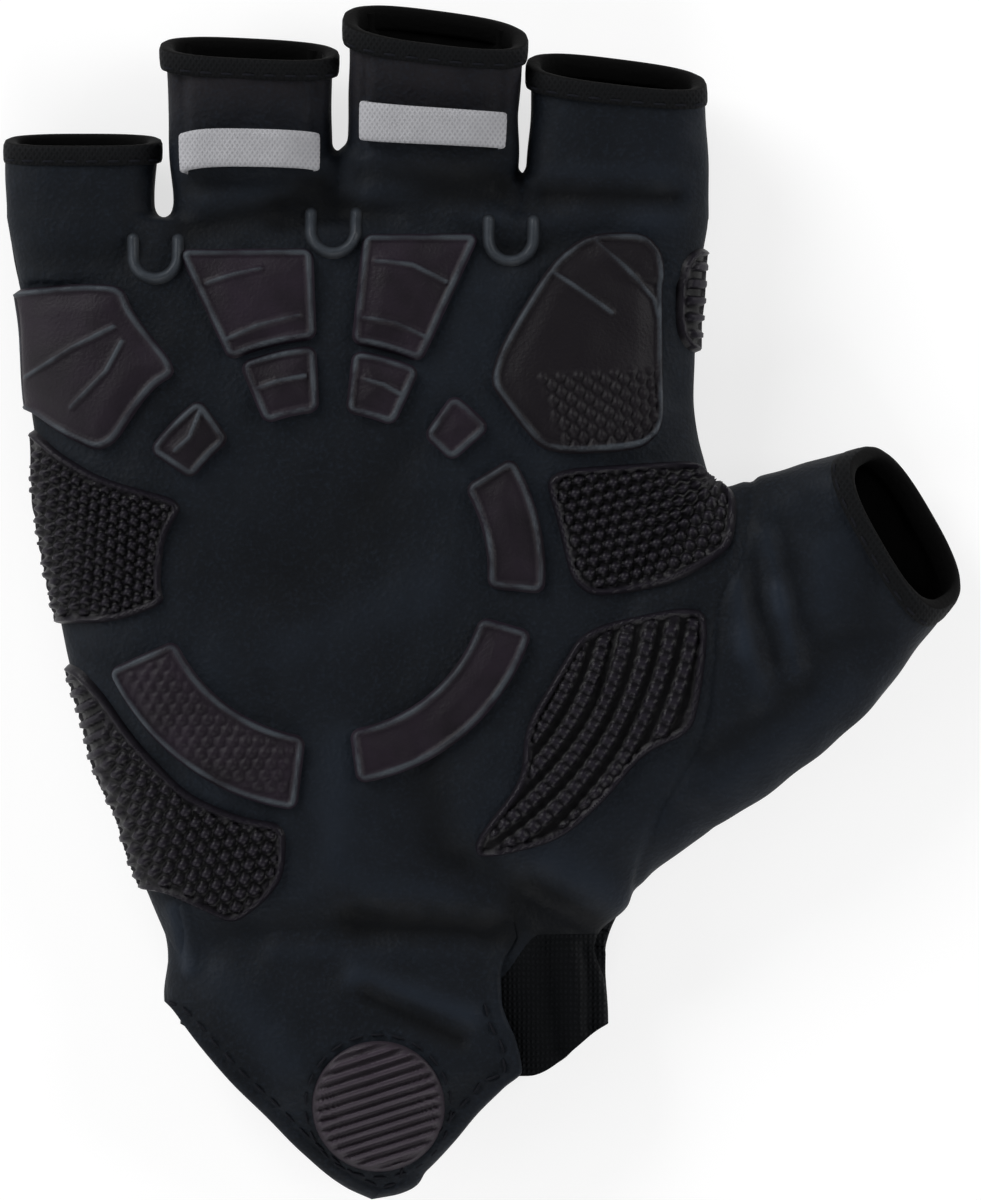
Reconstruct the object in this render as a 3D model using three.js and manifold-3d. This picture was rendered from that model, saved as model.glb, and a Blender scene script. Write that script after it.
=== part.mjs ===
// A fingerless cycling glove for the right hand, lying on its back with the palm up.
// Millimetres. X runs across the palm towards the thumb, Y from the wrist to the fingers, Z up out of the palm.
// While it is worked out, Y is 0 at the wrist line and X is 0 at the middle of the knuckles. The finished group is
// then moved, so that its origin lies under the middle of the whole glove, on the surface that it rests on.

import * as THREE from "three";
import { mergeVertices } from "three/addons/utils/BufferGeometryUtils.js";
import Module from "manifold-3d";

const wasm = await Module();
wasm.setup();

// Skins and fits
const SKIN = 1.5;
const JOINT_GAP = 0.3;
const HEM_WIDTH = 3.2;
const HEM_PROUD = 0.35;

// Hand
const PALM_LENGTH = 108;
const PALM_DEPTH = 22;
const PARTING_HEIGHT = 8.5;
const CUFF_LENGTH = 18;
const CUFF_CORNER = 6;
const SLIT = 1.4;

// Fingers, from the little finger to the index. Reach runs from the knuckle line to the middle of the mouth, mouth is
// the mouth's width, drift how far it lies to the thumb's side, rise how far it is lifted off the surface, gape how
// far the back wall runs past the palm wall, skew how much lower the mouth's right corner lies than its left, and web
// how far the slit on the finger's left stops above the knuckles.
const FINGERS = [
  { name: "little", width: 22.6, mouth: 22.6, reach: 11.7, drift: 0.1, rise: 2, gape: 2.3, skew: 0, web: 0 },
  { name: "ring", width: 24.4, mouth: 25.8, reach: 25, drift: -0.2, rise: 5, gape: 3.6, skew: 1.2, web: 0 },
  { name: "middle", width: 25.6, mouth: 26.6, reach: 28, drift: 0.8, rise: 6.8, gape: 5.6, skew: 3.2, web: 10 },
  { name: "index", width: 26.8, mouth: 25.8, reach: 21.6, drift: -0.2, rise: 4.8, gape: 4.4, skew: 3, web: 6.3 },
];
const FINGER_ROOT_DEPTH = 15;
const FINGER_MOUTH_DEPTH = 12.6;
const FINGER_LIFT = 0.5;
const ROOT_TUCK = 2.5;
// How late along a finger its rise comes: 1 is a straight line
const CURL = 1.3;
const FINGER_ROOT_LENGTH = 9;

// Thumb
const THUMB_WIDTH = 25.8;
const THUMB_REACH = 40.3;
const THUMB_ANGLE = 30;
const THUMB_DEPTH = 15;
const THUMB_RISE = 5.4;
const THUMB_GAPE = 9;

// Closing flap and its grip patch
const FLAP_LENGTH = 39;
const FLAP_BREADTH = 57;
const FLAP_THICKNESS = 1.8;
const FLAP_WRAP_HEIGHT = 4;
const PATCH_DIAMETER = 19.5;
const PATCH_HEIGHT = 0.8;
const PATCH_RIB_HEIGHT = 0.7;
const PATCH_RIB_PITCH = 2.4;

// Padding
const DISC_RADIUS = 22.6;
const PAD_HEIGHT = 0.9;
const RIM_HEIGHT = 0.6;
const RIM_WIDTH = 1.5;
const PAD_CLEARANCE = 0.5;
const GRIP_HEIGHT = 1.2;
const RIDGE_HEIGHT = 1.2;
const RIDGE_RADIUS = 3.3;
const EDGE_RIB_PITCH = 2.6;
const PAD_CORNER = 2;

// Loops that pull the glove off
const TAB_WIDTH = 6;
const TAB_THICKNESS = 0.9;
const TAB_BOW = 1.1;
const TAB_CLEARANCE = 0.5;
const TAB_SPREAD = Math.PI / 4;
const PULL_TABS = [{ name: "ring", along: 0.44 }, { name: "middle", along: 0.53 }];

// Fineness of the faceted surfaces
const BODY_SIDES = 20;
const TUBE_SIDES = 14;
const CORNER_STEPS = 1;
const ARC_STEPS = 3;
const ROUND_STEPS = 7;
const TAB_STEPS = 10;

const KNUCKLE_BREADTH = FINGERS.reduce((sum, finger) => sum + finger.width, 0) + SLIT * (FINGERS.length - 1);

const LEATHER = { color: 0x171b21, roughness: 0.75 };
const KNIT = { color: 0x14171c, roughness: 0.9 };
const PADDING = { color: 0x241f26, roughness: 0.7 };
const SILICONE = { color: 0x18161b, roughness: 0.45 };
const BINDING = { color: 0x0c0c0f, roughness: 0.85 };
const REFLECTIVE = { color: 0x8f9092, roughness: 0.5 };
const RUBBER = { color: 0x2e2930, roughness: 0.6 };

// The body's sections. Along is a share of the palm's length from the wrist line, left and right of the knuckle
// breadth from its middle, and top, under and dish of the palm's depth: dish is how far the middle sinks.
const PALM_SECTIONS = [
  { along: 0, left: -0.262, right: 0.352, top: 0.76, under: 0, dish: 0 },
  { along: 0.1, left: -0.306, right: 0.415, top: 0.88, under: 0, dish: 0.02 },
  { along: 0.175, left: -0.333, right: 0.51, top: 0.96, under: 0, dish: 0.05 },
  { along: 0.28, left: -0.375, right: 0.535, top: 1, under: 0, dish: 0.09 },
  { along: 0.42, left: -0.414, right: 0.525, top: 1, under: 0, dish: 0.13 },
  { along: 0.55, left: -0.444, right: 0.518, top: 0.98, under: 0, dish: 0.14 },
  { along: 0.64, left: -0.456, right: 0.506, top: 0.95, under: 0, dish: 0.11 },
  { along: 0.7, left: -0.461, right: 0.486, top: 0.92, under: 0, dish: 0.08 },
  { along: 0.78, left: -0.467, right: 0.482, top: 0.88, under: 0, dish: 0.05 },
  { along: 0.88, left: -0.477, right: 0.487, top: 0.8, under: 0, dish: 0.02 },
  { along: 1, left: -0.498, right: 0.499, top: 0.7, under: 0.03, dish: 0 },
];

// The cuff's sections go on from the wrist line. Along is a share of the cuff's length, away from the fingers.
const CUFF_SECTIONS = [
  { along: 0.5, left: -0.25, right: 0.357, top: 0.72, under: 0, dish: 0 },
  { along: 1.15, left: -0.246, right: 0.359, top: 0.7, under: 0, dish: 0 },
];

// The cuff's free edge, from the little finger's side round to the thumb's. Across is a share of the knuckle
// breadth, along of the cuff's length.
const CUFF_EDGE = [
  { across: -0.3, along: 0.55 },
  { across: -0.245, along: 0.6 },
  { across: -0.16, along: 1 },
  { across: 0.243, along: 1 },
  { across: 0.352, along: 0.6 },
  { across: 0.4, along: 0.5 },
];

// The share of the thumb's reach over which its rings still stand square to its axis
const THUMB_STRAIGHT = 0.3;

// The thumb's sections: along is a share of its reach, upper and lower of its mouth's half width to each side of its
// axis, depth of the thumb's depth at the mouth, and lift of its rise.
const THUMB_SECTIONS = [
  { along: -0.3, upper: 0.6, lower: 1.86, depth: 1.3, lift: 0.05 },
  { along: 0, upper: 1.2, lower: 1.86, depth: 1.36, lift: 0.05 },
  { along: 0.2, upper: 1.4, lower: 1.81, depth: 1.34, lift: 0.1 },
  { along: 0.35, upper: 1.47, lower: 1.76, depth: 1.27, lift: 0.18 },
  { along: 0.5, upper: 1.45, lower: 1.65, depth: 1.2, lift: 0.32 },
  { along: 0.65, upper: 1.34, lower: 1.49, depth: 1.12, lift: 0.5 },
  { along: 0.82, upper: 1.17, lower: 1.24, depth: 1.05, lift: 0.75 },
  { along: 1, upper: 1, lower: 1, depth: 1, lift: 1 },
];
// Where the thumb's axis leaves the palm, as shares of the knuckle breadth and the palm's length
const THUMB_ROOT = { across: 0.443, along: 0.393 };

// The seam between palm and thumb, from the crotch down to the wrist, as shares of the same two sizes
const THUMB_SEAM = [
  { across: 0.56, along: 0.72 },
  { across: 0.558, along: 0.62 },
  { across: 0.543, along: 0.535 },
  { across: 0.515, along: 0.48 },
  { across: 0.507, along: 0.41 },
  { across: 0.497, along: 0.33 },
  { across: 0.47, along: 0.255 },
  { across: 0.43, along: 0.19 },
  { across: 0.4, along: 0.1 },
  { across: 0.39, along: 0.03 },
];

// Where the palm ends and the flap is sewn on, above the wrist line, as a share of the palm's length
const PALM_END = 0.026;

// The flap lies on a form that goes on from the cuff and droops. Along is a share of the flap's length from its sewn
// end, top and side of the palm's depth: side is how high the form is widest.
const FLAP_FORM = [
  { along: 0.53, top: 0.705, side: 0.37 },
  { along: 0.68, top: 0.62, side: 0.3 },
  { along: 0.84, top: 0.5, side: 0.2 },
  { along: 1.1, top: 0.26, side: 0.05 },
];

// The flap's outline, from its sewn end's left corner round the tip. Across is a share of its breadth from the middle
// of the knuckles, along of its length.
const FLAP_OUTLINE = [
  [-0.7, 0], [-0.7, 0.14], [-0.51, 0.2], [-0.465, 0.32], [-0.415, 0.42], [-0.335, 0.555], [-0.243, 0.685],
  [-0.147, 0.825], [-0.033, 0.955], [0.035, 1], [0.108, 0.98], [0.187, 0.885], [0.26, 0.775], [0.322, 0.668],
  [0.39, 0.572], [0.438, 0.507], [0.425, 0.4], [0.385, 0.23], [0.395, 0.1], [0.44, 0],
];
const PATCH_PLACE = { across: 0.057, along: 0.64 };
const PATCH_RIB_TURN = 18;

// Cells of padding round the palm's flat disc. Angles turn anticlockwise from the thumb's side, in degrees, and inner
// and outer are shares of the disc's radius.
const DISC_CENTRE = { across: -0.0415, along: 0.519 };
const CELLS = [
  { name: "middle_inner_cell", from: 65, to: 84, inner: 1.05, outer: 1.41 },
  { name: "ring_inner_cell", from: 93, to: 117, inner: 1.05, outer: 1.43 },
  { name: "little_inner_cell", from: 126, to: 146, inner: 1.05, outer: 1.4 },
  { name: "heel_inner_cell", from: 204, to: 263, inner: 1.07, outer: 1.56 },
  { name: "thumb_inner_cell", from: 278, to: 344, inner: 1.03, outer: 1.39 },
  { name: "web_inner_cell", from: 354, to: 392, inner: 1.04, outer: 1.42 },
  { name: "index_inner_cell", from: 401, to: 415, inner: 1.07, outer: 1.42 },
];
// The cells between those and the fingers: end is a share of the way from the disc's middle to the knuckle line.
const BASE_CELLS = [
  { name: "middle_base_cell", from: 65.5, to: 84, inner: 1.52, end: 0.957 },
  { name: "ring_base_cell", from: 95, to: 115, inner: 1.54, end: 0.914 },
];

// Padding and grips with outlines of their own, as shares of the knuckle breadth and the palm's length
const LITTLE_BASE = [
  [-0.52, 0.9], [-0.39, 0.912], [-0.33, 0.908], [-0.315, 0.87], [-0.247, 0.79], [-0.29, 0.765], [-0.352, 0.675],
  [-0.425, 0.708], [-0.47, 0.742], [-0.52, 0.75],
];
const INDEX_BASE = [
  [0.178, 0.788], [0.3, 0.98], [0.435, 0.98], [0.435, 0.82], [0.435, 0.685], [0.27, 0.675], [0.225, 0.725],
];
const SIDE_GRIP = [
  [-0.52, 0.725], [-0.468, 0.722], [-0.425, 0.685], [-0.375, 0.655], [-0.335, 0.64], [-0.238, 0.615],
  [-0.27, 0.565], [-0.276, 0.5], [-0.268, 0.474], [-0.345, 0.448], [-0.43, 0.447], [-0.52, 0.445],
];
const HEEL_GRIP = [
  [-0.52, 0.42], [-0.395, 0.397], [-0.362, 0.36], [-0.31, 0.29], [-0.24, 0.22], [-0.165, 0.188], [-0.096, 0.178],
  [-0.1, 0.105], [-0.13, 0.068], [-0.175, 0.036], [-0.225, 0.062], [-0.28, 0.085], [-0.4, 0.09], [-0.52, 0.13],
];
const WEB_GRIP = [
  [0.262, 0.658], [0.41, 0.668], [0.485, 0.672], [0.5, 0.65], [0.542, 0.628], [0.535, 0.555], [0.5, 0.528],
  [0.438, 0.497], [0.335, 0.482], [0.302, 0.508], [0.285, 0.58],
];
const THUMB_HEEL_GRIP = [
  [0.322, 0.444], [0.454, 0.472], [0.492, 0.468], [0.499, 0.44], [0.49, 0.36], [0.476, 0.3], [0.408, 0.272],
  [0.355, 0.21], [0.288, 0.152], [0.175, 0.126], [0.163, 0.152], [0.233, 0.236], [0.236, 0.307], [0.284, 0.385],
];
const EDGE_GRIP = [[0.452, 0.962], [0.53, 0.962], [0.53, 0.815], [0.452, 0.815]];
const OUTLINED = [
  { name: "little_base_cell", outline: LITTLE_BASE, rim: true },
  { name: "index_base_cell", outline: INDEX_BASE, rim: true },
  { name: "side_grip", outline: SIDE_GRIP, rim: false },
  { name: "heel_grip", outline: HEEL_GRIP, rim: false },
  { name: "web_grip", outline: WEB_GRIP, rim: false },
  { name: "thumb_heel_grip", outline: THUMB_HEEL_GRIP, rim: false },
];
// The middles of the U-shaped ridges under the slits, as shares of the same two sizes
const CROTCH_RIDGES = [
  { name: "little_crotch_ridge", across: -0.285, along: 0.948 },
  { name: "ring_crotch_ridge", across: -0.033, along: 0.983 },
  { name: "middle_crotch_ridge", across: 0.219, along: 0.973 },
];

const degrees = THREE.MathUtils.degToRad;

function solid(geometry) {
  const bare = geometry.clone();
  bare.deleteAttribute("normal");
  bare.deleteAttribute("uv");
  const merged = mergeVertices(bare, 1e-5);
  const mesh = { numProp: 3, vertProperties: merged.attributes.position.array, triVerts: merged.index.array };
  return new wasm.Manifold(new wasm.Mesh(mesh));
}

function geometryOf(manifold) {
  const mesh = manifold.getMesh();
  const geometry = new THREE.BufferGeometry();
  geometry.setAttribute("position", new THREE.BufferAttribute(mesh.vertProperties, 3));
  geometry.setIndex(new THREE.BufferAttribute(mesh.triVerts, 1));
  return geometry;
}

function joined(solids) {
  return solids.reduce((whole, piece) => whole.add(piece));
}

// Cutting along a panel's edge can leave crumbs: the piece itself is the largest body.
function largest(manifold) {
  const bodies = manifold.decompose();
  return bodies.reduce((best, body) => (body.volume() > best.volume() ? body : best));
}

// A closed solid through rings with equally many points, each ring running anticlockwise as its successor sees it
function loft(rings) {
  const sides = rings[0].length;
  const points = rings.flat();
  const faces = [];
  for (let r = 0; r + 1 < rings.length; r++) {
    for (let i = 0; i < sides; i++) {
      const a = r * sides + i;
      const b = r * sides + (i + 1) % sides;
      faces.push(a, b, b + sides, a, b + sides, a + sides);
    }
  }
  const ends = [rings[0], rings[rings.length - 1]];
  ends.forEach((ring, last) => {
    const middle = ring.reduce((sum, point) => sum.add(point), new THREE.Vector3()).divideScalar(sides);
    const start = last ? (rings.length - 1) * sides : 0;
    const centre = points.push(middle) - 1;
    for (let i = 0; i < sides; i++) {
      const here = start + i;
      const next = start + (i + 1) % sides;
      faces.push(centre, last ? here : next, last ? next : here);
    }
  });
  const geometry = new THREE.BufferGeometry().setFromPoints(points);
  geometry.setIndex(faces);
  return solid(geometry);
}

// A value between two rows of a section table, which are in order of their column at
function between(rows, at, key, place) {
  const last = rows.length - 1;
  const next = THREE.MathUtils.clamp(rows.findIndex((row) => row[at] > place), 1, last);
  const above = rows[last][at] <= place ? last : next;
  const [low, high] = [rows[above - 1], rows[above]];
  const share = THREE.MathUtils.clamp((place - low[at]) / (high[at] - low[at]), 0, 1);
  return THREE.MathUtils.lerp(low[key], high[key], share);
}

// A flattened round: cosine and sine pulled towards the corners by the given power
function flattened(turn, power) {
  const [c, s] = [Math.cos(turn), Math.sin(turn)];
  return { across: Math.sign(c) * Math.abs(c) ** power, up: Math.sign(s) * Math.abs(s) ** power };
}

const onPalm = ({ across, along }) => new THREE.Vector2(across * KNUCKLE_BREADTH, along * PALM_LENGTH);
const palmEnd = PALM_END * PALM_LENGTH;
const SIDE_POWER = 0.7;
// How far the round underside would sink into the surface, where it is pressed flat
const PRESSED = 1;

// The body's rows in millimetres, from the cuff's end to the knuckles
const BODY_ROWS = [
  ...CUFF_SECTIONS.map((row) => ({ ...row, y: -row.along * CUFF_LENGTH })).reverse(),
  ...PALM_SECTIONS.map((row) => ({ ...row, y: row.along * PALM_LENGTH })),
].map(({ y, along, left, right, top, under, dish }) => ({
  y,
  along,
  left: left * KNUCKLE_BREADTH,
  right: right * KNUCKLE_BREADTH,
  top: top * PALM_DEPTH,
  under: under * PALM_DEPTH,
  dish: dish * PALM_DEPTH,
}));

// One ring of the body, grown outwards by that much. The underside is flat where it would sink into the surface.
function bodyRing(row, y, grow) {
  const half = (row.right - row.left) / 2 + grow;
  const middle = (row.right + row.left) / 2;
  const side = row.side ?? PARTING_HEIGHT;
  const ring = [];
  for (let i = 0; i < BODY_SIDES; i++) {
    const { across, up } = flattened((i / BODY_SIDES) * 2 * Math.PI, SIDE_POWER);
    const sunk = row.dish * (1 - across ** 2) ** 2;
    const height = up > 0 ? row.top + grow - side : side + PRESSED + grow - row.under;
    const z = side + up * height - (up > 0 ? sunk : 0);
    ring.push(new THREE.Vector3(middle + across * half, y, Math.max(z, row.under - grow)));
  }
  return ring.reverse();
}

function body(grow, openEnd = 0) {
  const last = BODY_ROWS.length - 1;
  const rings = BODY_ROWS.map((row, index) => {
    if (index === 0) return bodyRing(row, row.y - openEnd, grow);
    return bodyRing(row, index === last ? row.y + grow : row.y, grow);
  });
  return loft(rings);
}

// The left side of each finger in turn, at the knuckles
const FINGER_PLACES = FINGERS.map((finger, index) => {
  const before = FINGERS.slice(0, index).reduce((sum, other) => sum + other.width + SLIT, 0);
  const left = before - KNUCKLE_BREADTH / 2;
  const next = FINGERS[index + 1];
  return {
    ...finger,
    middle: left + finger.width / 2,
    leftWeb: index > 0 ? finger.web : null,
    rightWeb: next ? next.web : null,
  };
});

// Below the web the walls of two neighbours run into each other, the more the lower.
const WEB_OVERLAP = 0.6;
const WEB_SLOPE = 0.3;
const WEB_END = 0.4;
function webSpread(web, above) {
  if (web === null || above > web) return 0;
  return SLIT / 2 + WEB_OVERLAP + WEB_SLOPE * (web - above);
}

// A point on a finger at that turn round it and that distance above the knuckle line. Its mouth leans back, so that
// the palm's side is shorter.
function fingerPoint(finger, turn, above, grow) {
  const share = above / finger.reach;
  const lean = THREE.MathUtils.clamp(share, 0, 1);
  const tuck = ROOT_TUCK * THREE.MathUtils.clamp(-share, 0, 1);
  const half = THREE.MathUtils.lerp(finger.width, finger.mouth, lean ** 2) / 2 - tuck + grow;
  const depth = THREE.MathUtils.lerp(FINGER_ROOT_DEPTH, FINGER_MOUTH_DEPTH, lean);
  const middleHeight = depth / 2 + FINGER_LIFT + finger.rise * lean ** CURL;
  const { across, up } = flattened(turn, SIDE_POWER);
  const spread = across > 0 ? webSpread(finger.rightWeb, above) : webSpread(finger.leftWeb, above);
  const tipped = lean * ((up * finger.gape) / 2 + (across * finger.skew) / 2);
  return new THREE.Vector3(
    finger.middle + finger.drift * lean + across * (half + spread),
    PALM_LENGTH + above - tipped,
    middleHeight + up * (depth / 2 + grow),
  );
}

function fingerRing(finger, above, grow) {
  const turns = Array.from({ length: TUBE_SIDES }, (_, i) => (-i / TUBE_SIDES) * 2 * Math.PI);
  return turns.map((turn) => fingerPoint(finger, turn, above, grow));
}

// A finger's tube between two distances above the knuckle line, with a ring just above and below each web
function fingerTube(finger, from, to, grow) {
  const webs = [finger.leftWeb, finger.rightWeb].filter((web) => web !== null);
  const stations = [from, ...webs.flatMap((web) => [web, web + WEB_END]), to]
    .filter((above) => above >= from && above <= to)
    .sort((a, b) => a - b)
    .filter((above, index, all) => index === 0 || above - all[index - 1] >= WEB_END / 2);
  return loft(stations.map((above) => fingerRing(finger, above, grow)));
}

// The thumb's frame in plan: where its axis leaves the palm, along it, and across it towards the fingers
const thumbRoot = onPalm(THUMB_ROOT);
const thumbAlong = new THREE.Vector2(Math.cos(degrees(THUMB_ANGLE)), Math.sin(degrees(THUMB_ANGLE)));
const thumbAcross = new THREE.Vector2(-thumbAlong.y, thumbAlong.x);

function thumbRing(share, grow) {
  const value = (key) => between(THUMB_SECTIONS, "along", key, share);
  const depth = value("depth") * THUMB_DEPTH;
  const middleHeight = value("lift") * THUMB_RISE + depth / 2;
  const lean = THREE.MathUtils.clamp((share - THUMB_STRAIGHT) / (1 - THUMB_STRAIGHT), 0, 1);
  const ring = [];
  for (let i = 0; i < TUBE_SIDES; i++) {
    const { across, up } = flattened((i / TUBE_SIDES) * 2 * Math.PI, SIDE_POWER);
    const half = value(across > 0 ? "lower" : "upper") * (THUMB_WIDTH / 2) + grow;
    const along = share * THUMB_REACH - (lean * up * THUMB_GAPE) / 2;
    const plan = thumbRoot.clone().addScaledVector(thumbAlong, along).addScaledVector(thumbAcross, -across * half);
    ring.push(new THREE.Vector3(plan.x, plan.y, middleHeight + up * (depth / 2 + grow)));
  }
  return ring.reverse();
}

function thumbTube(from, to, grow) {
  const inside = THUMB_SECTIONS.map((row) => row.along).filter((share) => share > from && share < to);
  return loft([from, ...inside, to].map((share) => thumbRing(share, grow)));
}

const thumbHemStart = 1 - HEM_WIDTH / THUMB_REACH;
const thumbSkinEnd = thumbHemStart - JOINT_GAP / THUMB_REACH;
const BURIED = THUMB_SECTIONS[0].along;
const PAST_MOUTH = 4;
// Where a hem's bore starts, well below the hem, as a share of the reach
const HEM_BORE_START = 0.5;

// The whole outside without hems, grown by that much, and the whole hollow, run out of every mouth
function outside(grow) {
  const fingers = FINGER_PLACES.map((finger) =>
    fingerTube(finger, -FINGER_ROOT_LENGTH, finger.reach - HEM_WIDTH - JOINT_GAP, grow));
  return joined([body(grow), thumbTube(BURIED, thumbSkinEnd, grow), ...fingers]);
}

function hollow() {
  const fingers = FINGER_PLACES.map((finger) =>
    fingerTube(finger, SKIN - FINGER_ROOT_LENGTH, finger.reach + PAST_MOUTH, -SKIN));
  const thumb = thumbTube(BURIED + SKIN / THUMB_REACH, 1 + PAST_MOUTH / THUMB_REACH, -SKIN);
  return joined([body(-SKIN, PAST_MOUTH), thumb, ...fingers]);
}

// A box between two corners
function block(low, high) {
  const size = high.clone().sub(low);
  const geometry = new THREE.BoxGeometry(size.x, size.y, size.z);
  geometry.translate(...low.clone().add(high).multiplyScalar(0.5).toArray());
  return solid(geometry);
}

// Far past the glove on every side
const FAR = 3 * PALM_LENGTH;

// Everything over an outline in plan, between two heights
function prism(outline, low, high, curveSegments = CORNER_STEPS) {
  const geometry = new THREE.ExtrudeGeometry(outline, { depth: high - low, bevelEnabled: false, curveSegments });
  geometry.translate(0, 0, low);
  return solid(geometry);
}

// The most of a side that one of its rounded corners may take up
const CORNER_SHARE = 0.45;

// A closed outline through points, each corner rounded by at most that radius
function rounded(points, radius) {
  const shape = new THREE.Shape();
  points.forEach((corner, index) => {
    const before = points[(index + points.length - 1) % points.length];
    const after = points[(index + 1) % points.length];
    const backOff = Math.min(radius, before.distanceTo(corner) * CORNER_SHARE);
    const goOn = Math.min(radius, after.distanceTo(corner) * CORNER_SHARE);
    const start = corner.clone().lerp(before, backOff / before.distanceTo(corner));
    const end = corner.clone().lerp(after, goOn / after.distanceTo(corner));
    if (index === 0) shape.moveTo(start.x, start.y);
    else shape.lineTo(start.x, start.y);
    shape.quadraticCurveTo(corner.x, corner.y, end.x, end.y);
  });
  shape.closePath();
  return shape;
}

// The same closed outline, pulled in by that much on every side. Points run anticlockwise.
function pulledIn(points, distance) {
  return points.map((corner, index) => {
    const before = points[(index + points.length - 1) % points.length];
    const after = points[(index + 1) % points.length];
    const sideIn = corner.clone().sub(before).normalize();
    const sideOut = after.clone().sub(corner).normalize();
    const normal = new THREE.Vector2(-sideIn.y - sideOut.y, sideIn.x + sideOut.x);
    const squared = normal.lengthSq();
    return corner.clone().addScaledVector(normal, (2 * distance) / Math.max(squared, 1));
  });
}

function anticlockwise(points) {
  return THREE.ShapeUtils.isClockWise(points) ? [...points].reverse() : points;
}

const glove = new THREE.Group();
function add(name, manifold, look) {
  const mesh = new THREE.Mesh(geometryOf(manifold), new THREE.MeshStandardMaterial(look));
  mesh.name = name;
  glove.add(mesh);
}

// The skin, cut into its panels along the seams
const skin = outside(0).subtract(hollow());

function thumbSide(shift) {
  const seam = THUMB_SEAM.map((point) => onPalm(point).add(new THREE.Vector2(shift, 0)));
  const [top, bottom] = [seam[0], seam[seam.length - 1]];
  const outline = [
    ...seam,
    new THREE.Vector2(bottom.x, -FAR),
    new THREE.Vector2(FAR, -FAR),
    new THREE.Vector2(FAR, FAR),
    new THREE.Vector2(top.x, FAR),
  ];
  return prism(new THREE.Shape(anticlockwise(outline)), -FAR, FAR);
}

const slab = (lowY, highY, lowZ = -FAR, highZ = FAR) =>
  block(new THREE.Vector3(-FAR, lowY, lowZ), new THREE.Vector3(FAR, highY, highZ));
const aboveWrist = slab(palmEnd, FAR);
const hand = skin.subtract(thumbSide(0)).intersect(slab(palmEnd, PALM_LENGTH));

add("palm_panel", largest(hand.intersect(slab(-FAR, FAR, PARTING_HEIGHT + JOINT_GAP / 2))), LEATHER);
add("back_panel", largest(hand.intersect(slab(-FAR, FAR, -FAR, PARTING_HEIGHT - JOINT_GAP / 2))), KNIT);
add("thumb_stall", largest(skin.intersect(thumbSide(JOINT_GAP)).intersect(aboveWrist)), LEATHER);

const fingersOnly = skin.subtract(thumbSide(0)).intersect(slab(PALM_LENGTH + JOINT_GAP, FAR));
for (const finger of FINGER_PLACES) {
  const reach = finger.width / 2 + SLIT / 2 - JOINT_GAP / 2;
  const lane = block(
    new THREE.Vector3(finger.leftWeb === null ? -FAR : finger.middle - reach, 0, -FAR),
    new THREE.Vector3(finger.rightWeb === null ? FAR : finger.middle + reach, FAR, FAR),
  );
  add(`${finger.name}_stall`, largest(fingersOnly.intersect(lane)), LEATHER);
  const rim = fingerTube(finger, finger.reach - HEM_WIDTH, finger.reach, HEM_PROUD);
  const bore = fingerTube(finger, finger.reach * HEM_BORE_START, finger.reach + PAST_MOUTH, -SKIN);
  add(`${finger.name}_hem`, rim.subtract(bore), BINDING);
}
const thumbRim = thumbTube(thumbHemStart, 1, HEM_PROUD);
const thumbBore = thumbTube(HEM_BORE_START, 1 + PAST_MOUTH / THUMB_REACH, -SKIN);
add("thumb_hem", thumbRim.subtract(thumbBore), BINDING);

// The cuff band: the skin's end, cut to the shape of its free edge
const cuffEdge = CUFF_EDGE.map((point) =>
  new THREE.Vector2(point.across * KNUCKLE_BREADTH, -point.along * CUFF_LENGTH));
const cuffOutline = [
  new THREE.Vector2(-FAR, cuffEdge[0].y),
  ...cuffEdge,
  new THREE.Vector2(FAR, cuffEdge.at(-1).y),
  new THREE.Vector2(FAR, palmEnd - JOINT_GAP),
  new THREE.Vector2(-FAR, palmEnd - JOINT_GAP),
];
add("cuff_band", largest(skin.intersect(prism(rounded(cuffOutline, CUFF_CORNER), -FAR, FAR))), KNIT);

// The closing flap, a tongue that lies on the cuff and droops past its edge
const flapPlace = (across, along) =>
  new THREE.Vector2(across * FLAP_BREADTH, palmEnd - JOINT_GAP - along * FLAP_LENGTH);
const droopRows = FLAP_FORM.map(({ along, top, side }) => ({
  ...BODY_ROWS[0],
  y: flapPlace(0, along).y,
  top: top * PALM_DEPTH,
  side: side * PALM_DEPTH,
}));
const carryingRows = BODY_ROWS.filter((row) => row.y > droopRows[0].y && row.y < palmEnd + CUFF_LENGTH);
const formRows = [...droopRows.reverse(), ...carryingRows];
const flapForm = (grow) => loft(formRows.map((row) => bodyRing(row, row.y, grow)));
const flapLayer = (low, high) => flapForm(high).subtract(flapForm(low));
const flapOutline = FLAP_OUTLINE.map(([across, along]) => flapPlace(across, along));
const flapPrism = prism(new THREE.Shape(anticlockwise(flapOutline)), FLAP_WRAP_HEIGHT, FAR);
const flapTop = JOINT_GAP + FLAP_THICKNESS;
add("wrist_flap", largest(flapLayer(JOINT_GAP, flapTop).intersect(flapPrism)), LEATHER);

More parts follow.
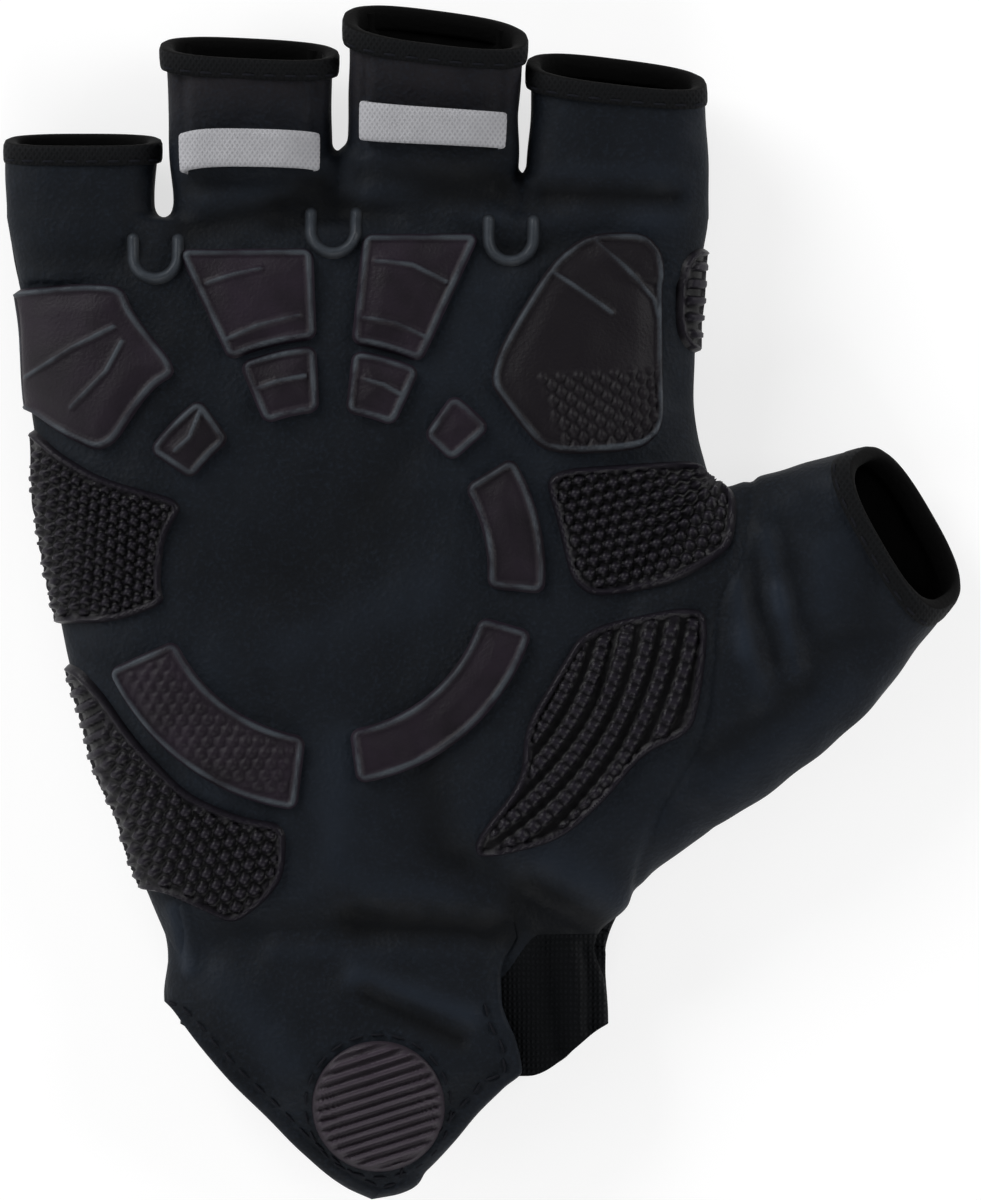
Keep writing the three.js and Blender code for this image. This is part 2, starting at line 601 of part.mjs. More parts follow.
// The round patch that a finger grips to pull the flap, with ribs across it
const patchMiddle = flapPlace(PATCH_PLACE.across, PATCH_PLACE.along);
const patchDisc = (radius) => new THREE.Shape().absarc(patchMiddle.x, patchMiddle.y, radius, 0, 2 * Math.PI);
const patchPrism = (radius) => prism(patchDisc(radius), 0, FAR, ROUND_STEPS);
const patchBase = flapTop + JOINT_GAP;
const patchPlate = flapLayer(patchBase, patchBase + PATCH_HEIGHT).intersect(patchPrism(PATCH_DIAMETER / 2));
const ribCount = Math.floor(PATCH_DIAMETER / PATCH_RIB_PITCH);
const ribs = Array.from({ length: ribCount }, (_, index) => {
  const offset = (index - (ribCount - 1) / 2) * PATCH_RIB_PITCH;
  const geometry = new THREE.BoxGeometry(PATCH_DIAMETER, PATCH_RIB_PITCH / 2, FAR);
  geometry.translate(0, offset, FAR / 2);
  geometry.rotateZ(degrees(PATCH_RIB_TURN));
  geometry.translate(patchMiddle.x, patchMiddle.y, 0);
  return solid(geometry);
});
const ribLayer = flapLayer(patchBase, patchBase + PATCH_HEIGHT + PATCH_RIB_HEIGHT);
const ribEnds = patchPrism(PATCH_DIAMETER / 2 - PATCH_RIB_PITCH / 2);
add("flap_patch", patchPlate.add(ribLayer.intersect(joined(ribs)).intersect(ribEnds)), RUBBER);

// The padding: layers of the grown skin under outlines in plan
const padHeights = [PAD_HEIGHT, PAD_HEIGHT + RIM_HEIGHT, GRIP_HEIGHT, RIDGE_HEIGHT];
const underPads = outside(JOINT_GAP);
const layers = new Map(padHeights.map((height) => [height, outside(JOINT_GAP + height).subtract(underPads)]));
const padOver = (outline, height, steps) =>
  layers.get(height).intersect(prism(outline, PARTING_HEIGHT + JOINT_GAP, FAR, steps));

const discMiddle = onPalm(DISC_CENTRE);
const cellRows = [
  ...CELLS.map((cell) => ({ ...cell, far: cell.outer * DISC_RADIUS })),
  ...BASE_CELLS.map((cell) => ({ ...cell, far: cell.end * (PALM_LENGTH - discMiddle.y) })),
];

function cellOutline(cell, inset) {
  const centre = discMiddle;
  const radius = { inner: cell.inner * DISC_RADIUS + inset, outer: cell.far - inset };
  const turn = (edge, sign, at) => degrees(edge) + (sign * inset) / radius[at];
  const outline = new THREE.Shape();
  outline.absarc(centre.x, centre.y, radius.outer, turn(cell.from, 1, "outer"), turn(cell.to, -1, "outer"), false);
  outline.absarc(centre.x, centre.y, radius.inner, turn(cell.to, -1, "inner"), turn(cell.from, 1, "inner"), true);
  outline.closePath();
  return outline;
}

function rimmed(whole, within, steps) {
  const rim = padOver(whole, PAD_HEIGHT + RIM_HEIGHT, steps).subtract(prism(within, 0, FAR, steps));
  return padOver(whole, PAD_HEIGHT, steps).add(rim);
}

for (const cell of cellRows) {
  add(cell.name, rimmed(cellOutline(cell, 0), cellOutline(cell, RIM_WIDTH), ARC_STEPS), PADDING);
}

// The other pads stop short of the cells.
const cellSpace = joined(cellRows.map((cell) => prism(cellOutline(cell, -PAD_CLEARANCE), 0, FAR, ARC_STEPS)));
for (const { name, outline, rim } of OUTLINED) {
  const points = anticlockwise(outline.map(([across, along]) => onPalm({ across, along })));
  const whole = rounded(points, PAD_CORNER);
  const pad = rim ? rimmed(whole, rounded(pulledIn(points, RIM_WIDTH), PAD_CORNER / 2)) : padOver(whole, GRIP_HEIGHT);
  add(name, largest(pad.subtract(cellSpace)), rim ? PADDING : SILICONE);
}

// Short ribs that wrap the index finger's edge of the palm, on one backing
const edgePoints = anticlockwise(EDGE_GRIP.map(([across, along]) => onPalm({ across, along })));
const edgeBox = new THREE.Box2().setFromPoints(edgePoints);
const edgeBacking = padOver(new THREE.Shape(edgePoints), PAD_HEIGHT);
const edgeRibCount = Math.floor((edgeBox.max.y - edgeBox.min.y) / EDGE_RIB_PITCH);
const edgeRibs = Array.from({ length: edgeRibCount }, (_, index) => {
  const low = edgeBox.min.y + index * EDGE_RIB_PITCH + EDGE_RIB_PITCH / 4;
  return slab(low, low + EDGE_RIB_PITCH / 2);
});
const edgeLayer = padOver(new THREE.Shape(edgePoints), PAD_HEIGHT + RIM_HEIGHT);
add("index_edge_grip", largest(edgeBacking.add(edgeLayer.intersect(joined(edgeRibs)))), SILICONE);

// The U-shaped ridges below the slits
for (const { name, across, along } of CROTCH_RIDGES) {
  const { x, y } = onPalm({ across, along });
  const [inner, outer] = [RIDGE_RADIUS - RIM_WIDTH / 2, RIDGE_RADIUS + RIM_WIDTH / 2];
  const outline = new THREE.Shape();
  outline.moveTo(x - outer, y + RIDGE_RADIUS / 2);
  outline.absarc(x, y, outer, Math.PI, 2 * Math.PI, false);
  outline.lineTo(x + outer, y + RIDGE_RADIUS / 2);
  outline.lineTo(x + inner, y + RIDGE_RADIUS / 2);
  outline.absarc(x, y, inner, 2 * Math.PI, Math.PI, true);
  outline.lineTo(x - inner, y + RIDGE_RADIUS / 2);
  outline.closePath();
  add(name, padOver(outline, RIDGE_HEIGHT, ARC_STEPS), PADDING);
}

// The bowed loops across the ring and middle fingers, held at their side seams
for (const { name, along } of PULL_TABS) {
  const finger = FINGER_PLACES.find((place) => place.name === name);
  const middle = along * finger.reach;
  const corner = (u, side, lift) => {
    const bow = TAB_BOW * (1 - (2 * u - 1) ** 2);
    const turn = THREE.MathUtils.lerp(Math.PI - TAB_SPREAD, TAB_SPREAD, u);
    return fingerPoint(finger, turn, middle + (side * TAB_WIDTH) / 2, TAB_CLEARANCE + bow + lift);
  };
  const rings = Array.from({ length: TAB_STEPS + 1 }, (_, step) => {
    const u = step / TAB_STEPS;
    return [corner(u, -1, 0), corner(u, 1, 0), corner(u, 1, TAB_THICKNESS), corner(u, -1, TAB_THICKNESS)];
  });
  add(`${name}_pull_tab`, loft(rings), REFLECTIVE);
}

// The glove is moved so that its origin is under its middle.
const extent = new THREE.Box3().setFromObject(glove);
const centre = extent.getCenter(new THREE.Vector3());
glove.position.set(-centre.x, -centre.y, -extent.min.z);

export default glove;
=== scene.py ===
"""The looks of a fingerless cycling glove, built round its fixed model.

Lengths in the tables are millimetres, or shares of named sizes. X runs across the palm towards the thumb, with
0 at the middle of the knuckles, Y from the wrist line to the fingers, and Z up out of the palm. place() takes
a shape from there to the frame, in metres.
"""

import functools
import math

import bpy
import numpy as np
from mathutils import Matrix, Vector
from mathutils.bvhtree import BVHTree


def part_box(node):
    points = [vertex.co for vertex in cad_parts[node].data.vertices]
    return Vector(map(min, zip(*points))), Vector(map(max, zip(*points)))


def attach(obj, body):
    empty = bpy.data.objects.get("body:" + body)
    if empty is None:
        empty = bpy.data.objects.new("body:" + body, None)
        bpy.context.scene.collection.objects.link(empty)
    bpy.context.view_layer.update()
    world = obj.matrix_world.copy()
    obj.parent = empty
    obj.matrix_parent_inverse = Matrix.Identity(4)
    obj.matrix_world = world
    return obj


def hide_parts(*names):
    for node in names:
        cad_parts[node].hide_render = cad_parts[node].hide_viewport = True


bl_info = {
    "name": "Cycling Glove",
    "version": (1, 0, 0),
    "blender": (4, 5, 0),
    "location": "3D View > Sidebar > Glove",
    "description": "Builds the looks of a fingerless cycling glove",
    "category": "Add Mesh",
}

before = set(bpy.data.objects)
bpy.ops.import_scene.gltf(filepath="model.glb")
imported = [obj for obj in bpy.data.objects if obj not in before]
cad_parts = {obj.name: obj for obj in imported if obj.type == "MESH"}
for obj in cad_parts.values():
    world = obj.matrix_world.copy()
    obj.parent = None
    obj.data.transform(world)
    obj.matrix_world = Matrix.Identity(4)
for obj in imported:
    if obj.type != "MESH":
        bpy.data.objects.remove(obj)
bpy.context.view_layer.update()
MM = 0.001
# Edges sharper than this are drawn as edges, in degrees
SHARP_ANGLE = 62


def table(columns, *rows):
    """A short table as one array for each named column."""
    return dict(zip(columns, np.array(rows, float).T))


# Driving sizes of the hand, as in the solids
PALM_LENGTH = 108
PALM_DEPTH = 22
PARTING_HEIGHT = 8.5
CUFF_LENGTH = 18
SLIT = 1.4
SIDE_POWER = 0.7
PRESSED = 1

# Fingers from the little one to the index: width at the knuckles and at the mouth, reach to the mouth, drift
# towards the thumb, rise off the surface, gape of the back wall past the palm wall, skew of the mouth, and
# where the slit on the finger's left stops above the knuckles
FINGERS = table(
    ("width", "mouth", "reach", "drift", "rise", "gape", "skew", "web"),
    (22.6, 22.6, 11.7, 0.1, 2, 2.3, 0, 0),
    (24.4, 25.8, 25, -0.2, 5, 3.6, 1.2, 0),
    (25.6, 26.6, 28, 0.8, 6.8, 5.6, 3.2, 10),
    (26.8, 25.8, 21.6, -0.2, 4.8, 4.4, 3, 6.3),
)
FINGER_NAMES = ("little", "ring", "middle", "index")
FINGER_ROOT_DEPTH = 15
FINGER_MOUTH_DEPTH = 12.6
FINGER_LIFT = 0.5
FINGER_ROOT_LENGTH = 9
ROOT_TUCK = 2.5
CURL = 1.3
WEB_OVERLAP = 0.6
WEB_SLOPE = 0.3
WEB_BLEND = 1.6

THUMB_WIDTH = 25.8
THUMB_REACH = 40.3
THUMB_ANGLE = math.radians(30)
THUMB_DEPTH = 15
THUMB_RISE = 5.4
THUMB_GAPE = 9
THUMB_STRAIGHT = 0.3
# No part of the thumb is further along the palm than this share of it
THUMB_TOP = 0.8

FLAP_LENGTH = 39
FLAP_BREADTH = 57
FLAP_THICKNESS = 1.8
FLAP_WRAP_HEIGHT = 4
JOINT_GAP = 0.3
PALM_END = 0.026 * PALM_LENGTH
PATCH_DIAMETER = 19.5

DISC_RADIUS = 22.6
TAB_WIDTH = 6
TAB_SPREAD = math.pi / 4
PULL_TABS = {"ring": 0.44, "middle": 0.53}

KNUCKLE_BREADTH = FINGERS["width"].sum() + SLIT * (len(FINGER_NAMES) - 1)

# The body's sections, as shares of the palm's length, of the knuckle breadth, and of the palm's depth
PALM_SECTIONS = table(
    ("along", "left", "right", "top", "under", "dish"),
    (0, -0.262, 0.352, 0.76, 0, 0),
    (0.1, -0.306, 0.415, 0.88, 0, 0.02),
    (0.175, -0.333, 0.51, 0.96, 0, 0.05),
    (0.28, -0.375, 0.535, 1, 0, 0.09),
    (0.42, -0.414, 0.525, 1, 0, 0.13),
    (0.55, -0.444, 0.518, 0.98, 0, 0.14),
    (0.64, -0.456, 0.506, 0.95, 0, 0.11),
    (0.7, -0.461, 0.486, 0.92, 0, 0.08),
    (0.78, -0.467, 0.482, 0.88, 0, 0.05),
    (0.88, -0.477, 0.487, 0.8, 0, 0.02),
    (1, -0.498, 0.499, 0.7, 0.03, 0),
)
# From the cuff's end, with along as a share of the cuff's length away from the fingers
CUFF_SECTIONS = table(
    ("along", "left", "right", "top", "under", "dish"),
    (1.15, -0.246, 0.359, 0.7, 0, 0),
    (0.5, -0.25, 0.357, 0.72, 0, 0),
)
CUFF_EDGE = table(
    ("across", "along"),
    (-0.3, 0.55),
    (-0.245, 0.6),
    (-0.16, 1),
    (0.243, 1),
    (0.352, 0.6),
    (0.4, 0.5),
)
# The thumb's sections: shares of its reach, its mouth's half width to each side, its depth and its rise
THUMB_SECTIONS = table(
    ("along", "upper", "lower", "depth", "lift"),
    (-0.3, 0.6, 1.86, 1.3, 0.05),
    (0, 1.2, 1.86, 1.36, 0.05),
    (0.2, 1.4, 1.81, 1.34, 0.1),
    (0.35, 1.47, 1.76, 1.27, 0.18),
    (0.5, 1.45, 1.65, 1.2, 0.32),
    (0.65, 1.34, 1.49, 1.12, 0.5),
    (0.82, 1.17, 1.24, 1.05, 0.75),
    (1, 1, 1, 1, 1),
)
THUMB_ROOT = (0.443, 0.393)
THUMB_SEAM = table(
    ("across", "along"),
    (0.39, 0.03),
    (0.4, 0.1),
    (0.43, 0.19),
    (0.47, 0.255),
    (0.497, 0.33),
    (0.507, 0.41),
    (0.515, 0.48),
    (0.543, 0.535),
    (0.558, 0.62),
    (0.56, 0.72),
)
# The form under the flap's free end: shares of the flap's length and of the palm's depth
FLAP_FORM = table(
    ("along", "top", "side"),
    (1.1, 0.26, 0.05),
    (0.84, 0.5, 0.2),
    (0.68, 0.62, 0.3),
    (0.53, 0.705, 0.37),
)
# The flap's two edges, from the sewn end to the tip: shares of its breadth and its length
FLAP_LEFT = table(
    ("across", "along"),
    (-0.515, 0),
    (-0.51, 0.2),
    (-0.465, 0.32),
    (-0.415, 0.42),
    (-0.335, 0.555),
    (-0.243, 0.685),
    (-0.147, 0.825),
    (-0.033, 0.955),
    (0.035, 1),
)
FLAP_RIGHT = table(
    ("across", "along"),
    (0.44, 0),
    (0.395, 0.1),
    (0.385, 0.23),
    (0.425, 0.4),
    (0.438, 0.507),
    (0.39, 0.572),
    (0.322, 0.668),
    (0.26, 0.775),
    (0.187, 0.885),
    (0.108, 0.98),
    (0.035, 1),
)
PATCH_PLACE = (0.057, 0.64)
PATCH_RIB_TURN = math.radians(18)

# Cells round the palm's flat disc: from and to in degrees from the thumb's side, and their inner and outer
# radius as shares of the disc's
DISC_CENTRE = (-0.0415, 0.519)
CELLS = {
    "middle_inner_cell": (65, 83.5, 1.03, 1.45),
    "ring_inner_cell": (92.5, 113, 1.03, 1.47),
    "little_inner_cell": (126, 146, 1.05, 1.4),
    "heel_inner_cell": (204, 263, 1.07, 1.56),
    "thumb_inner_cell": (278, 344, 1.03, 1.39),
    "web_inner_cell": (354, 392, 1.04, 1.42),
    "index_inner_cell": (401, 415, 1.07, 1.42),
    "middle_base_cell": (65.5, 84, 1.48, 2.6),
    "ring_base_cell": (92.4, 115, 1.5, 2.6),
}
# Outlines of the other pads, as shares of the knuckle breadth and the palm's length
OUTLINES = {
    "little_base_cell": [
        (-0.54, 0.9), (-0.39, 0.912), (-0.33, 0.908), (-0.315, 0.87), (-0.247, 0.79), (-0.29, 0.765),
        (-0.352, 0.675), (-0.425, 0.708), (-0.47, 0.742), (-0.54, 0.75),
    ],
    "index_base_cell": [
        (0.178, 0.788), (0.3, 0.98), (0.435, 0.98), (0.435, 0.82), (0.435, 0.685), (0.27, 0.675),
        (0.225, 0.725),
    ],
    "side_grip": [
        (-0.54, 0.725), (-0.468, 0.722), (-0.425, 0.685), (-0.375, 0.655), (-0.335, 0.64), (-0.238, 0.615),
        (-0.27, 0.565), (-0.276, 0.5), (-0.268, 0.474), (-0.345, 0.448), (-0.43, 0.447), (-0.54, 0.445),
    ],
    "heel_grip": [
        (-0.54, 0.42), (-0.395, 0.397), (-0.362, 0.36), (-0.31, 0.29), (-0.24, 0.22), (-0.165, 0.188),
        (-0.096, 0.178), (-0.1, 0.105), (-0.13, 0.068), (-0.175, 0.036), (-0.225, 0.062), (-0.28, 0.085),
        (-0.4, 0.09), (-0.54, 0.13),
    ],
    "web_grip": [
        (0.262, 0.658), (0.41, 0.668), (0.485, 0.672), (0.5, 0.65), (0.542, 0.628), (0.535, 0.555),
        (0.5, 0.528), (0.438, 0.497), (0.335, 0.482), (0.302, 0.508), (0.285, 0.58),
    ],
    "thumb_heel_grip": [
        (0.322, 0.444), (0.454, 0.472), (0.492, 0.468), (0.499, 0.44), (0.49, 0.36), (0.476, 0.3),
        (0.408, 0.272), (0.355, 0.21), (0.288, 0.152), (0.175, 0.126), (0.163, 0.152), (0.233, 0.236),
        (0.236, 0.307), (0.284, 0.385),
    ],
    "index_edge_grip": [(0.452, 0.962), (0.56, 0.962), (0.56, 0.815), (0.452, 0.815)],
}
# Raised lines inside the cells, as chains of points in the same shares
INNER_LINES = {
    "little_base_cell": [
        [(-0.458, 0.785), (-0.4, 0.822), (-0.342, 0.85)],
        [(-0.4, 0.742), (-0.352, 0.79), (-0.33, 0.83)],
    ],
    "ring_base_cell": [
        [(-0.211, 0.91), (-0.17, 0.922), (-0.135, 0.929)],
        [(-0.195, 0.829), (-0.14, 0.852), (-0.081, 0.866)],
        [(-0.175, 0.795), (-0.12, 0.806), (-0.06, 0.813)],
    ],
    "ring_inner_cell": [[(-0.159, 0.761), (-0.115, 0.776), (-0.073, 0.784)]],
    "middle_base_cell": [
        [(0.027, 0.94), (0.08, 0.934), (0.127, 0.912)],
        [(0.011, 0.863), (0.055, 0.856), (0.098, 0.837)],
    ],
    "middle_inner_cell": [[(0.011, 0.78), (0.04, 0.772), (0.067, 0.757)]],
    "little_inner_cell": [[(-0.256, 0.683), (-0.236, 0.7), (-0.216, 0.747)]],
    "index_base_cell": [
        [(0.339, 0.967), (0.38, 0.93), (0.419, 0.89), (0.43, 0.851)],
        [(0.272, 0.929), (0.32, 0.897), (0.36, 0.869)],
    ],
}
CROTCH_RIDGES = {
    "little_crotch_ridge": (-0.285, 0.948),
    "ring_crotch_ridge": (-0.033, 0.983),
    "middle_crotch_ridge": (0.219, 0.973),
}
RIDGE_RADIUS = 3.3

# Folds and dents of the skin: from and to as the same shares, with width and height in millimetres
FOLDS = table(
    ("from_across", "from_along", "to_across", "to_along", "width", "height"),
    (0.27, 1.033, 0.45, 1.028, 1.7, -1.1),
    (-0.24, 0.985, -0.05, 1.03, 2.6, -1),
    (-0.22, 1.02, -0.1, 1.04, 2, 0.5),
    (-0.1, 1.0, 0.2, 1.035, 2.4, -1.1),
    (0.02, 1.03, 0.2, 1.005, 2, 0.6),
    (0.21, 0.95, 0.36, 0.99, 2.4, -0.7),
    (0.25, 0.985, 0.45, 1.0, 2.6, 0.5),
    (0.27, 1.062, 0.45, 1.058, 2.2, 0.35),
    (-0.235, 1.045, -0.05, 1.05, 1.8, -0.6),
    (0.01, 1.06, 0.2, 1.052, 2, -0.7),
    (-0.47, 0.945, -0.33, 0.95, 2.4, -0.45),
    (0.0, 0.042, 0.21, 0.03, 2.6, -1.3),
    (0.02, 0.085, 0.2, 0.08, 3.4, 0.5),
    (-0.2, 0.03, 0.0, 0.045, 3, -0.5),
    (0.253, 0.075, 0.36, 0.01, 3.5, -1.6),
    (0.27, 0.11, 0.38, 0.06, 3, 0.5),
    (0.27, 0.01, 0.29, -0.13, 1.6, -1.2),
    (0.305, 0.01, 0.315, -0.13, 1.4, 0.7),
    (0.335, 0, 0.335, -0.1, 1.3, -1.1),
    (0.582, 0.571, 0.6, 0.47, 1.5, 0.7),
    (0.598, 0.49, 0.622, 0.385, 1.7, 0.9),
    (0.602, 0.58, 0.63, 0.45, 2.4, -0.6),
    (0.66, 0.55, 0.655, 0.47, 3, 0.4),
    (0.54, 0.5, 0.548, 0.41, 1.5, 0.6),
    (0.552, 0.43, 0.575, 0.35, 2, 0.5),
    (0.565, 0.53, 0.59, 0.4, 1.8, -0.6),
    (0.72, 0.62, 0.735, 0.44, 3.4, -0.45),
    (0.62, 0.4, 0.7, 0.43, 2.6, -0.5),
    (0.5, 0.27, 0.64, 0.36, 3, -0.7),
    (0.52, 0.23, 0.7, 0.36, 3, 0.4),
    (0.05, 0.6, -0.12, 0.5, 5, -0.35),
    (0.1, 0.5, -0.1, 0.42, 5, 0.3),
    (0.09, 0.3, 0.12, 0.14, 3.4, -0.7),
    (-0.02, 0.29, -0.03, 0.12, 3.4, 0.5),
    (0.16, 0.12, 0.3, 0.03, 3.5, -0.8),
    (0.2, 0.16, 0.34, 0.1, 3.5, 0.4),
    (-0.26, 0.06, -0.24, -0.02, 1.2, 0.7),
    (0.07, 0.69, 0.02, 0.62, 3, -0.4),
)
# Folds of the flap alone, in the same shares
FLAP_FOLDS = table(
    ("from_across", "from_along", "to_across", "to_along", "width", "height"),
    (0.02, -0.055, 0.145, -0.115, 1.8, -1.1),
    (0, -0.03, 0.16, -0.085, 2.2, 0.8),
    (-0.2, -0.03, -0.1, -0.15, 3.5, 0.4),
    (-0.12, 0.01, 0.15, 0.012, 2.4, 0.5),
    (0.14, -0.2, 0.2, -0.16, 2.5, -0.4),
)


def linear(hex_colour):
    """An sRGB hex colour as linear values with alpha."""
    channels = [int(hex_colour[i : i + 2], 16) / 255 for i in (0, 2, 4)]
    return [c / 12.92 if c <= 0.04045 else ((c + 0.055) / 1.055) ** 2.4 for c in channels] + [1]


def colour_property(name, description, hex_colour):
    """A colour of the glove that can be set in the scene."""
    return bpy.props.FloatVectorProperty(
        name=name, description=description, default=linear(hex_colour), size=4, min=0, max=1, subtype="COLOR"
    )


def length_property(name, description, millimetres):
    """A length that can be set in the scene."""
    return bpy.props.FloatProperty(
        name=name, description=description, default=millimetres * MM, min=0, unit="LENGTH", precision=5
    )


class GlovePG_sizes(bpy.types.PropertyGroup):
    """Sizes that a user would change without touching the fixed model"""

    skin: length_property("Skin", "Thickness of the leather and the knit", 1.5)
    voxel: length_property("Skin fineness", "Size of the grid that the skin is made on", 0.58)
    grid: length_property("Relief fineness", "Size of the grid that the pads are made on", 0.32)
    cell_height: length_property("Cell height", "How far a padded cell stands up", 0.8)
    line_height: length_property("Line height", "How far a raised line stands above its cell", 0.5)
    line_width: length_property("Line width", "Width of a raised line", 1.15)
    grip_height: length_property("Grip height", "How far a grip's ground stands up", 0.35)
    nub_height: length_property("Nub height", "How far a nub stands above its grip", 0.9)
    stitch_length: length_property("Stitch length", "Length of one stitch", 2.1)
    stitch_width: length_property("Stitch width", "Thickness of the sewing thread", 0.38)


class GlovePG_colours(bpy.types.PropertyGroup):
    """Colours of the glove's materials"""

    palm: colour_property("Palm", "Synthetic suede of the palm", "0F141B")
    worn: colour_property("Worn palm", "Suede of the finger ends, browner from handling", "1B191D")
    knit: colour_property("Knit", "Stretch knit of the back and the cuff", "07090C")
    padding: colour_property("Padding", "Embossed cells over foam", "18111A")
    # Raised line: a painted sheen, the light on the cells' moulded lines and on the tops of the ridges under
    # the slits
    line: colour_property("Raised line", "Moulded lines round the cells", "393E44")
    silicone: colour_property("Silicone", "Moulded grips", "0D0B10")
    binding: colour_property("Binding", "Tape round the mouths", "08090B")
    tape: colour_property("Reflective tape", "Pull loops", "A3A3A7")
    patch: colour_property("Patch", "Moulded rubber patch", "342D35")
    thread: colour_property("Thread", "Sewing thread", "14151A")
    # Lining: painted near black, darker than the cloth, for the shade inside the glove and in its mouths
    lining: colour_property("Lining", "Inside of the glove", "010101")
    floor: colour_property("Floor", "Ground under the glove", "F6F6F6")


def sizes():
    """The lengths as they are set in the scene."""
    return bpy.context.scene.glove_sizes


def colours():
    """The colours as they are set in the scene."""
    return bpy.context.scene.glove_colours


def on_palm(across, along):
    """A place in plan from shares of the knuckles' breadth and the palm's length."""
    return np.array([across * KNUCKLE_BREADTH, along * PALM_LENGTH])


def smooth_at(rows, at, key, places):
    """A table's column at those places, on a curve through its rows that never swings past them."""
    x, y = rows[at], rows[key]
    steps = np.diff(x)
    slopes = np.diff(y) / steps
    tangents = np.concatenate([[slopes[0]], (slopes[1:] + slopes[:-1]) / 2, [slopes[-1]]])
    turns = np.concatenate([[False], slopes[1:] * slopes[:-1] <= 0, [False]])
    tangents[turns] = 0
    places = np.clip(np.asarray(places, float), x[0], x[-1])
    row = np.clip(np.searchsorted(x, places, side="right") - 1, 0, len(steps) - 1)
    t = (places - x[row]) / steps[row]
    start, end = tangents[row] * steps[row], tangents[row + 1] * steps[row]
    rise = y[row + 1] - y[row]
    return y[row] + t * start + t**2 * (3 * rise - 2 * start - end) + t**3 * (start + end - 2 * rise)


def smooth_step(low, high, value):
    """0 up to low, 1 from high, and a smooth rise between."""
    t = np.clip((np.asarray(value, float) - low) / (high - low), 0, 1)
    return t * t * (3 - 2 * t)


def flattened(turn):
    """A flattened round: cosine and sine pulled towards the corners."""
    c, s = np.cos(turn), np.sin(turn)
    return np.sign(c) * np.abs(c) ** SIDE_POWER, np.sign(s) * np.abs(s) ** SIDE_POWER


def body_rows():
    """The sections of cuff and palm together, in millimetres, from the cuff's end to the knuckles."""
    y = np.concatenate([-CUFF_SECTIONS["along"] * CUFF_LENGTH, PALM_SECTIONS["along"] * PALM_LENGTH])
    rows = {"y": y}
    for key, size in (
        ("left", KNUCKLE_BREADTH), ("right", KNUCKLE_BREADTH),
        ("top", PALM_DEPTH), ("under", PALM_DEPTH), ("dish", PALM_DEPTH),
    ):
        rows[key] = np.concatenate([CUFF_SECTIONS[key], PALM_SECTIONS[key]]) * size
    return rows


BODY_ROWS = body_rows()
FLAP_START = PALM_END - JOINT_GAP


def flap_form_rows():
    """The body's sections after the drooping ones under the flap, each with its own widest height."""
    droop_y = FLAP_START - FLAP_FORM["along"] * FLAP_LENGTH
    kept = BODY_ROWS["y"] > droop_y[-1]
    rows = {"y": np.concatenate([droop_y, BODY_ROWS["y"][kept]])}
    for key in ("left", "right", "under", "dish"):
        rows[key] = np.concatenate([np.full(len(droop_y), BODY_ROWS[key][0]), BODY_ROWS[key][kept]])
    rows["top"] = np.concatenate([FLAP_FORM["top"] * PALM_DEPTH, BODY_ROWS["top"][kept]])
    rows["side"] = np.concatenate([FLAP_FORM["side"] * PALM_DEPTH, np.full(kept.sum(), PARTING_HEIGHT)])
    return rows


def body_point(turn, y, grow=0.0, rows=BODY_ROWS):
    """Points on the body at those turns round it and those places along it."""
    turn, y = np.broadcast_arrays(np.asarray(turn, float), np.asarray(y, float))
    left, right, top, under, dish = (
        smooth_at(rows, "y", key, y) for key in ("left", "right", "top", "under", "dish")
    )
    side = smooth_at(rows, "y", "side", y) if "side" in rows else PARTING_HEIGHT
    across, up = flattened(turn)
    half, middle = (right - left) / 2 + grow, (right + left) / 2
    height = np.where(up > 0, top + grow - side, side + PRESSED + grow - under)
    sunk = np.where(up > 0, dish * (1 - across**2) ** 2, 0)
    z = np.maximum(side + up * height - sunk, under - grow)
    return np.stack([middle + across * half, y, z], -1)


FINGER_LEFTS = np.cumsum(FINGERS["width"] + SLIT) - FINGERS["width"] - SLIT - KNUCKLE_BREADTH / 2
FINGER_MIDDLES = FINGER_LEFTS + FINGERS["width"] / 2


def web_spread(web, above):
    """How far a finger's wall runs into its neighbour's at and below the slit's end."""
    if web is None:
        return 0.0
    amount = smooth_step(-0.5, 0.5, (web - above) / WEB_BLEND)
    return amount * (SLIT / 2 + WEB_OVERLAP) + WEB_SLOPE * np.maximum(web - above, 0)


def finger_point(index, turn, above, grow=0.0, webbed=True):
    """Points on a finger at those turns round it and that far above the knuckle line."""
    f = {key: column[index] for key, column in FINGERS.items()}
    share = np.asarray(above, float) / f["reach"]
    lean = np.clip(share, 0, 1)
    tuck = ROOT_TUCK * np.clip(-share, 0, 1)
    half = (f["width"] + (f["mouth"] - f["width"]) * lean**2) / 2 - tuck + grow
    depth = FINGER_ROOT_DEPTH + (FINGER_MOUTH_DEPTH - FINGER_ROOT_DEPTH) * lean
    middle_height = depth / 2 + FINGER_LIFT + f["rise"] * lean**CURL
    across, up = flattened(turn)
    left_web = f["web"] if webbed and index > 0 else None
    right_web = FINGERS["web"][index + 1] if webbed and index + 1 < len(FINGER_NAMES) else None
    spread = np.where(across > 0, web_spread(right_web, above), web_spread(left_web, above))
    tipped = lean * (up * f["gape"] + across * f["skew"]) / 2
    return np.stack(
        np.broadcast_arrays(
            FINGER_MIDDLES[index] + f["drift"] * lean + across * (half + spread),
            PALM_LENGTH + above - tipped,
            middle_height + up * (depth / 2 + grow),
        ),
        -1,
    )


THUMB_START = on_palm(*THUMB_ROOT)
THUMB_ALONG = np.array([math.cos(THUMB_ANGLE), math.sin(THUMB_ANGLE)])
THUMB_ACROSS = np.array([-THUMB_ALONG[1], THUMB_ALONG[0]])


